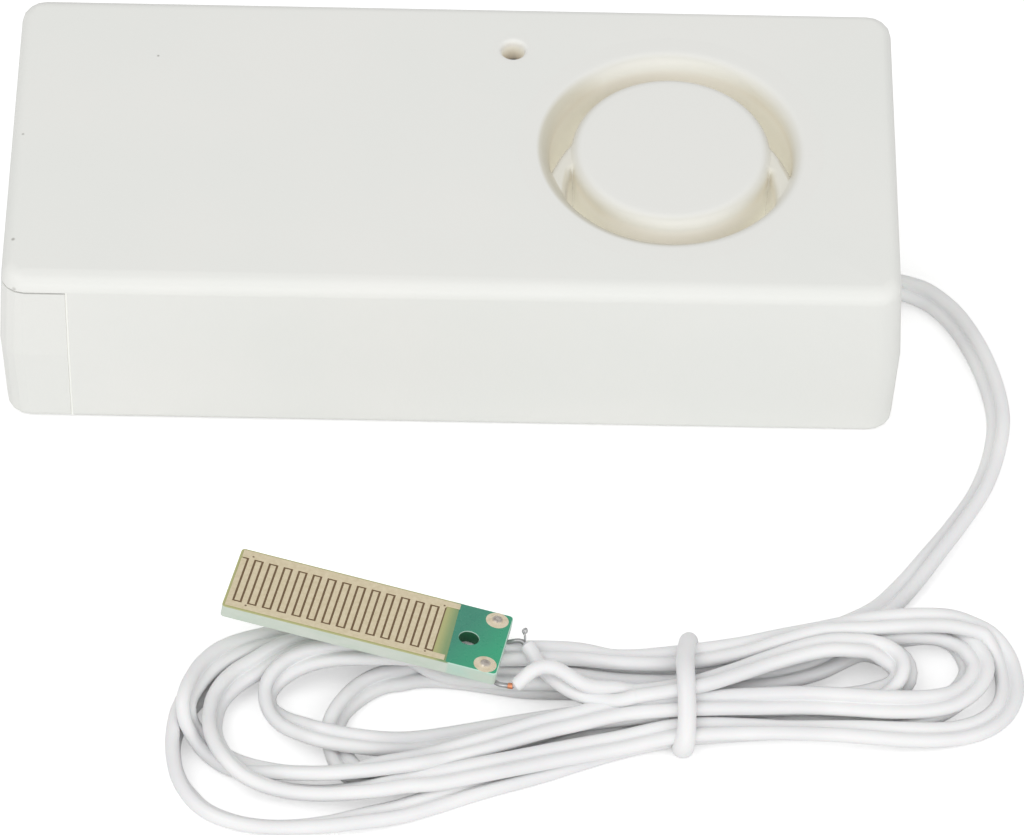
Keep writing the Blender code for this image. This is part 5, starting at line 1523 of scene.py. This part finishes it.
@dataclass
class SoundOutlet:
    """The ring groove round the outlet's middle disc, with soft edges, and the two webs that carry the disc.

    Its sizes are in millimetres, the webs' plan in degrees and millimetres from the outlet's middle.
    """

    middle: Pair
    top: float
    reach: float = 19.2
    wall: float = 15.25
    lip: Pair = (1.75, 2.3)
    disc: float = 12.6
    disc_edge: Pair = (1.5, 1.7)
    outer_rings: tuple[float, ...] = (18.6, 18.0, 17.5)
    disc_rings: tuple[float, ...] = (10.3, 9.4, 8.0, 5.0, 2.0, 0.4)
    depth: float = 11.0
    draft: float = 0.35
    steps: int = 420
    face_steps: int = 12
    floor_steps: int = 8
    web_top: float = -0.85
    web_blend: float = 0.7
    web_shoulder: float = 0.7
    web_sag: float = 0.5
    web_slope: float = 9.0
    web_plan: tuple[Pair, ...] = (
        (14.0, 10.6), (-9.0, 10.6), (-13.5, 12.9), (-21.4, 13.9), (-28.6, 14.95), (-35.2, 15.8),
        (-41.3, 16.5), (-45.9, 17.2), (-48.1, 18.6), (-29.5, 19.1), (-19.7, 16.6), (-11.1, 15.1),
        (-4.9, 14.15), (2.2, 13.2), (9.5, 12.2),
    )

    def section(self) -> np.ndarray:
        """The groove's section, from the outer face to the disc's middle.

        Returns:
            Radius and height of its points, in millimetres.
        """
        turn = np.linspace(0, math.pi / 2, self.face_steps)
        outer = [(self.wall + self.lip[0] * (1 - math.sin(a)), self.lip[1] * (math.cos(a) - 1)) for a in turn]
        inner = [(self.disc - self.disc_edge[0] * (1 - math.sin(a)), self.disc_edge[1] * (math.cos(a) - 1))
                 for a in turn[::-1]]
        down = np.linspace(0, 1, self.face_steps)[1:]
        wall = [(self.wall - self.draft * t, -self.lip[1] + t * (self.lip[1] - self.depth)) for t in down]
        floor = [(self.wall - self.draft + t * (self.disc + 2 * self.draft - self.wall), -self.depth)
                 for t in np.linspace(0, 1, self.floor_steps)[1:-1]]
        rise = [(self.disc + self.draft * t, -self.disc_edge[1] + t * (self.disc_edge[1] - self.depth))
                for t in down[::-1]]
        flat = [(r, 0.0) for r in (self.reach, *self.outer_rings)]
        face = [(r, 0.0) for r in self.disc_rings]
        return np.array([*flat, *outer, *wall, *floor, *rise, *inner, *face])

    def web_distance(self, x: np.ndarray, y: np.ndarray) -> np.ndarray:
        """How far points lie outside the webs' plan: below 0 inside it.

        Args:
            x: the points' places from the outlet's middle, in millimetres.
            y: the same along Y.

        Returns:
            The distances.
        """
        found = np.full(x.shape, 1e9)
        for side in (1, -1):
            plan = np.array([(side * r * math.cos(math.radians(a)), r * math.sin(math.radians(a)))
                             for a, r in self.web_plan])
            inside = np.zeros(x.shape, bool)
            nearest = np.full(x.shape, 1e9)
            for p, q in zip(plan, np.roll(plan, -1, axis=0)):
                run = q - p
                share = np.clip(((x - p[0]) * run[0] + (y - p[1]) * run[1]) / (run @ run), 0, 1)
                nearest = np.minimum(nearest, np.hypot(x - p[0] - share * run[0], y - p[1] - share * run[1]))
                crosses = (p[1] > y) != (q[1] > y)
                with np.errstate(divide="ignore", invalid="ignore"):
                    inside ^= crosses & (x < p[0] + (y - p[1]) * run[0] / run[1])
            found = np.minimum(found, np.where(inside, -nearest, nearest))
        return found

    def surface(self) -> tuple[np.ndarray, np.ndarray]:
        """The groove's surface with the webs blended into it.

        Returns:
            Its points, ring by ring, and whether each belongs to the open floor.
        """
        section = self.section()
        turn = np.linspace(0, 2 * math.pi, self.steps, endpoint=False)
        x, y = section[:, :1] * np.cos(turn), section[:, :1] * np.sin(turn)
        groove = np.repeat(section[:, 1:], self.steps, axis=1)
        away = self.web_distance(x, y)
        shoulder = np.clip(away / self.web_shoulder + 1, 0, 1)
        web = self.web_top - self.web_sag * shoulder ** 2 - self.web_slope * np.clip(away, 0, None)
        web = np.maximum(web, -self.depth - 5)
        near = np.clip(self.web_blend - np.abs(groove - web), 0, None) / self.web_blend
        high = np.maximum(groove, web) + near ** 2 * self.web_blend / 4
        outside = section[:, :1] > self.wall + self.lip[0] - 0.01
        high = np.where(outside | (groove > -0.02), groove, np.minimum(high, 0.0))
        points = np.stack([x, y, high], axis=2)
        return points, high < -self.depth + 0.05

    def build(self, finish: Finish) -> bpy.types.Object:
        """Makes the outlet.

        Args:
            finish: its finish.

        Returns:
            The piece.
        """
        points, floor = self.surface()
        rings, steps = floor.shape
        open_floor = floor.ravel()
        faces = [face for face in ring_faces(rings, steps) if not open_floor[list(face)].all()]
        faces.append(tuple(range((rings - 1) * steps, rings * steps)))
        placed = points.reshape(-1, 3) * MM + np.array([*self.middle, self.top])
        mesh = mesh_of("outlet_ring", placed, faces, 60)
        return settle(new_object("outlet_ring", mesh, finish.build()), "white_plastic")


def disc_tool(name: str, middle: Pair, inner: float, radius: float, low: float, high: float,
              steps: int = 210) -> bpy.types.Object:
    """A flat round cutter, or a ring-shaped one.

    Args:
        name: its name.
        middle: its place.
        inner: the radius of its own hole, 0 for none.
        radius: its radius.
        low: its lower face.
        high: its upper face.
        steps: points in a ring.

    Returns:
        The cutter, to be removed after use.
    """
    points = [(*p, z) for z in (low, high) for p in circle(radius, steps) + np.array(middle)]
    faces = ring_faces(2, steps)
    if inner:
        points += [(*p, z) for z in (low, high) for p in circle(inner, steps) + np.array(middle)]
        for i in range(steps):
            k = (i + 1) % steps
            faces += [(2 * steps + k, 2 * steps + i, 3 * steps + i, 3 * steps + k),
                      (i, 2 * steps + i, 2 * steps + k, k),
                      (steps + k, 3 * steps + k, 3 * steps + i, steps + i)]
    else:
        faces += [tuple(range(steps)), tuple(range(steps, 2 * steps))]
    tool = bpy.data.objects.new(name, mesh_of(name, points, faces))
    bpy.context.scene.collection.objects.link(tool)
    return tool


@dataclass
class Housing:
    """The white housing: shell with outlet and lamp hole, battery door, base cover, lip in the seam.

    The lamp hole's section and depth are in millimetres.
    """

    outlet: Pair = (27.213 * MM, 0.1 * MM)
    lamp: Pair = (7.226 * MM, 16.8 * MM)
    height: float = 25.4 * MM
    half_depth: float = 25.15 * MM
    crease: float = 12.6 * MM
    draft_above: float = 0.65 * MM
    draft_below: float = 0.45 * MM
    seam_x: float = -47.3 * MM
    seam: float = 0.25 * MM
    seam_top: float = 23.5 * MM
    seam_low: float = 0.5 * MM
    lip_inset: float = 0.22 * MM
    lip_thick: float = 0.8 * MM
    lip_laps: Pair = (0.03 * MM, 0.1 * MM)
    outlet_rim: float = 13.8 * MM
    lamp_rim: float = 5 * MM
    lamp_depth: float = 4.0
    lamp_steps: int = 96
    lamp_radius: float = 1.5
    lamp_edge: Pair = (0.5, 0.6)
    lamp_face: tuple[float, ...] = (2.6, 2.3)
    lamp_wall: tuple[Pair, ...] = ((1.48, -1.1), (1.46, -1.5), (1.45, -1.9), (1.45, -2.5), (1.45, -3.2))
    rooms: tuple[tuple[str, float, float, float], ...] = (
        ("outlet", 0.0, 19.2 * MM, 2.6 * MM), ("outlet", 11.6 * MM, 16.7 * MM, 12.2 * MM),
        ("lamp", 0.0, 2.6 * MM, 1.2 * MM),
    )
    # Painted shade of the lamp hole: darker and warmer with depth, with a painted glow.
    lamp_shades: tuple[DepthShade, ...] = depth_shades(
        (0.0, 231, 231, 227, 0.0), (0.6, 230, 229, 225, 0.1), (1.2, 224, 222, 212, 0.22),
        (1.9, 212, 208, 194, 0.3), (2.6, 194, 189, 173, 0.33), (3.2, 178, 172, 157, 0.32))
    specks: tuple[Speck, ...] = (
        Speck((-37.8, 14.5, 25.4), 0.22, 0.6), Speck((-54.24, -17.43, 25.4), 0.32, 0.6),
        Speck((-53.48, -22.35, 24.7), 0.5, 0.35), Speck((-53.87, -24.45, 23.8), 0.45, 0.5),
        Speck((-54.1, 0.41, 25.4), 0.24, 0.5),
    )

    def shell(self, node: bpy.types.Object, material: bpy.types.Material) -> bpy.types.Object:
        """The shell's moulding with room for the finely shaped outlet and lamp hole.

        Args:
            node: the CAD shell.
            material: its finish.

        Returns:
            The piece that stands for it.
        """
        shell = new_object("shell_moulding", node.data.copy(), material)
        shell.data.materials.clear()
        shell.data.materials.append(material)
        for name, inner, radius, deep in self.rooms:
            middle = self.outlet if name == "outlet" else self.lamp
            tool = disc_tool(name, middle, inner, radius, self.height - deep, self.height + 2 * MM)
            cut = shell.modifiers.new(name, "BOOLEAN")
            cut.operation = "DIFFERENCE"
            cut.solver = "EXACT"
            cut.object = tool
            bpy.context.view_layer.update()
            carved = shell.evaluated_get(bpy.context.evaluated_depsgraph_get())
            shape = bpy.data.meshes.new_from_object(carved)
            shell.modifiers.clear()
            shell.data = shape
            bpy.data.objects.remove(tool, do_unlink=True)
        smooth(shell.data, HOUSING_CREASE)
        self.even(shell)
        return settle(shell, "white_plastic", "top_shell")

    @staticmethod
    def even(thing: bpy.types.Object) -> None:
        """Lets large flat faces keep their shading up to the rounded edges beside them.

        Args:
            thing: the shell or the door.
        """
        weigh = thing.modifiers.new("even_shading", "WEIGHTED_NORMAL")
        weigh.keep_sharp = True
        weigh.weight = 100

    def lamp_hole(self, finish: Finish) -> bpy.types.Object:
        """The lamp hole's soft lip and wall.

        Args:
            finish: its finish.

        Returns:
            The piece.
        """
        turn = np.linspace(0, math.pi / 2, 8)
        wide, high = self.lamp_edge
        lip = [(self.lamp_radius + wide * (1 - math.sin(a)), high * (math.cos(a) - 1)) for a in turn]
        profile = [*((r, 0.0) for r in self.lamp_face), *lip, *self.lamp_wall]
        points = [(p[0] * MM + self.lamp[0], p[1] * MM + self.lamp[1], self.height + z * MM)
                  for r, z in profile for p in circle(r, self.lamp_steps)]
        mesh = mesh_of("lamp_hole_lip", points, ring_faces(len(profile), self.lamp_steps), 60)
        return settle(new_object("lamp_hole_lip", mesh, finish.build()), "white_plastic")

    def seam_lip(self, finish: Finish) -> bpy.types.Object:
        """The shell's thin lip that closes the seam round the battery door from behind.

        Args:
            finish: its finish.

        Returns:
            The piece.
        """
        rise = (self.seam_top - self.crease) / (self.height - self.crease)
        section = [(self.draft_below - self.half_depth, self.seam_low), (-self.half_depth, self.crease),
                   (self.draft_above * rise - self.half_depth, self.seam_top)]
        x0, x1 = self.seam_x - self.seam + self.lip_laps[0], self.seam_x + self.lip_laps[1]
        points, faces = [], []
        for side in (1, -1):
            start = len(points)
            for y, z in section:
                for x in (x0, x1):
                    points += [(x, side * (y + self.lip_inset), z), (x, side * (y + self.lip_thick), z)]
            for i in range(len(section) - 1):
                a, b = start + 4 * i, start + 4 * (i + 1)
                faces += [(a, a + 2, b + 2, b), (a + 1, b + 1, b + 3, a + 3), (a, b, b + 1, a + 1),
                          (a + 2, a + 3, b + 3, b + 2)]
            last = start + 4 * (len(section) - 1)
            faces += [(start, start + 1, start + 3, start + 2), (last, last + 2, last + 3, last + 1)]
        lip = new_object("seam_lip", mesh_of("seam_lip", points, faces), finish.build())
        return settle(lip, "white_plastic")

    def dress(self, nodes: dict[str, bpy.types.Object]) -> None:
        """Gives the housing's nodes their finish and adds its fine pieces.

        Args:
            nodes: the CAD nodes by name.
        """
        plastic = MouldedPlastic("shell_plastic", specks=self.specks).build()
        self.shell(nodes["top_shell"], plastic)
        for name in ("battery_door", "base_cover"):
            put_on(nodes[name], plastic)
            self.even(nodes[name])
        SoundOutlet(self.outlet, self.height).build(
            GroovePlastic("outlet_plastic", self.height, self.outlet, self.outlet_rim))
        painted_shades = self.lamp_shades
        self.lamp_hole(GroovePlastic("lamp_hole_plastic", self.height, self.lamp, self.lamp_rim,
                                     self.lamp_depth, sides=painted_shades, front=painted_shades, turned=painted_shades))
        # The seam lip's glow is painted light that lightens the shade in the seam round the door.
        self.seam_lip(MouldedPlastic("seam_plastic", glow=0.34))


# Studio


@dataclass
class Studio:
    """A white sweep with soft light from above and in front, and the photo's camera."""

    camera_place: Point = (2.64 * MM, -533.0 * MM, 590.52 * MM)
    azimuth: float = 0.59
    elevation: float = 49.19
    roll: float = 1.5
    lens: float = 217.55
    sensor: float = 36.0
    clip_end: float = 10.0
    aim: Point = (0.0, -0.03, 0.0)
    paper: float = 0.86
    paper_glow: float = 0.38
    paper_reach: float = 3.0
    world: float = 0.645
    lamps: tuple[tuple[str, Point, float, float], ...] = (
        ("key", (-0.55, -0.35, 0.95), 0.7, 3.0),
        ("fill", (0.65, -0.55, 0.7), 0.7, 1.9),
        ("front", (0.0, -1.1, 0.45), 0.6, 2.45),
    )

    def camera(self) -> None:
        """Sets the camera at the photo's place and angle."""
        a, e, r = (math.radians(part) for part in (self.azimuth, self.elevation, self.roll))
        forward = Vector((math.sin(a) * math.cos(e), math.cos(a) * math.cos(e), -math.sin(e)))
        level = Vector((math.cos(a), -math.sin(a), 0))
        over = level.cross(forward)
        right = math.cos(r) * level + math.sin(r) * over
        above = math.cos(r) * over - math.sin(r) * level
        data = bpy.data.cameras.new("camera")
        data.lens = self.lens
        data.sensor_width = self.sensor
        data.sensor_fit = "HORIZONTAL"
        data.clip_end = self.clip_end
        camera = bpy.data.objects.new("camera", data)
        bpy.context.scene.collection.objects.link(camera)
        camera.matrix_world = (Matrix.Translation(self.camera_place)
                               @ Matrix((right, above, -forward)).transposed().to_4x4())
        bpy.context.scene.camera = camera

    def light(self) -> None:
        """Adds the lamps and the even surrounding light."""
        for name, place, size, power in self.lamps:
            data = bpy.data.lights.new(name, "AREA")
            data.shape = "SQUARE"
            data.size = size
            data.energy = power
            lamp = bpy.data.objects.new(name, data)
            bpy.context.scene.collection.objects.link(lamp)
            lamp.location = place
            lamp.rotation_euler = (Vector(self.aim) - Vector(place)).to_track_quat("-Z", "Y").to_euler()
        world = bpy.data.worlds.new("studio")
        bpy.context.scene.world = world
        world.use_nodes = True
        tree = world.node_tree
        shade = tree.nodes["Background"]
        shade.inputs["Color"].default_value = (1, 1, 1, 1)
        shade.inputs["Strength"].default_value = self.world
        seen = tree.nodes.new("ShaderNodeBackground")
        seen.inputs["Color"].default_value = (1, 1, 1, 1)
        seen.inputs["Strength"].default_value = 1.0
        path = tree.nodes.new("ShaderNodeLightPath")
        mix = tree.nodes.new("ShaderNodeMixShader")
        tree.links.new(path.outputs["Is Camera Ray"], mix.inputs[0])
        tree.links.new(shade.outputs[0], mix.inputs[1])
        tree.links.new(seen.outputs[0], mix.inputs[2])
        tree.links.new(mix.outputs[0], tree.nodes["World Output"].inputs["Surface"])

    def floor(self) -> None:
        """Lays the plain pale floor, which burns out to white except in the object's shadow."""
        mesh = bpy.data.meshes.new("floor")
        reach = self.paper_reach
        mesh.from_pydata([(-reach, -reach, 0), (reach, -reach, 0), (reach, reach, 0), (-reach, reach, 0)], [],
                         [(0, 1, 2, 3)])
        sheet = Sheet("floor_paper")
        sheet.colour((self.paper,) * 3)
        sheet.set(Roughness=0.9, Specular_IOR_Level=0.0)
        glow = sheet.add("ShaderNodeEmission")
        glow.inputs["Color"].default_value = (1, 1, 1, 1)
        glow.inputs["Strength"].default_value = self.paper_glow
        total = sheet.add("ShaderNodeAddShader")
        pick = sheet.add("ShaderNodeMixShader")
        path = sheet.add("ShaderNodeLightPath")
        output = sheet.tree.nodes["Material Output"]
        sheet.join(sheet.shader.outputs[0], total.inputs[0])
        sheet.join(glow.outputs[0], total.inputs[1])
        sheet.join(path.outputs["Is Camera Ray"], pick.inputs[0])
        sheet.join(sheet.shader.outputs[0], pick.inputs[1])
        sheet.join(total.outputs[0], pick.inputs[2])
        sheet.join(pick.outputs[0], output.inputs["Surface"])
        floor = new_object("floor", mesh, sheet.material)

    def build(self) -> None:
        """Sets up the whole studio."""
        scene = bpy.context.scene
        scene.view_settings.view_transform = "Standard"
        self.camera()
        self.light()
        self.floor()
        LOG.info("studio: ready")


def main() -> None:
    """Builds every sub-assembly in order."""
    logging.basicConfig(level=logging.INFO, format="%(name)s: %(message)s")
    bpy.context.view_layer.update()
    Studio().build()
    cores = LooseCores().build(
        SoftSheath("core_vinyl"),
        Metal("tinned_strands", linear(196, 196, 196), linear(150, 150, 152), (0.3, 0.5), (1, 1, 1)),
        Metal("bright_strands", linear(238, 168, 130), linear(214, 138, 100), (0.35, 0.5), (1, 1, 1)))
    board = ProbeBoard().build()
    tie = HankTie().build(SoftSheath("tie_vinyl"))
    TwinCord().build(SoftSheath("cord_vinyl"), [*cores, *board, tie])
    Housing().dress(frame["nodes"])
    Innards().dress(frame["nodes"])


if __name__ == "__main__":
    main()
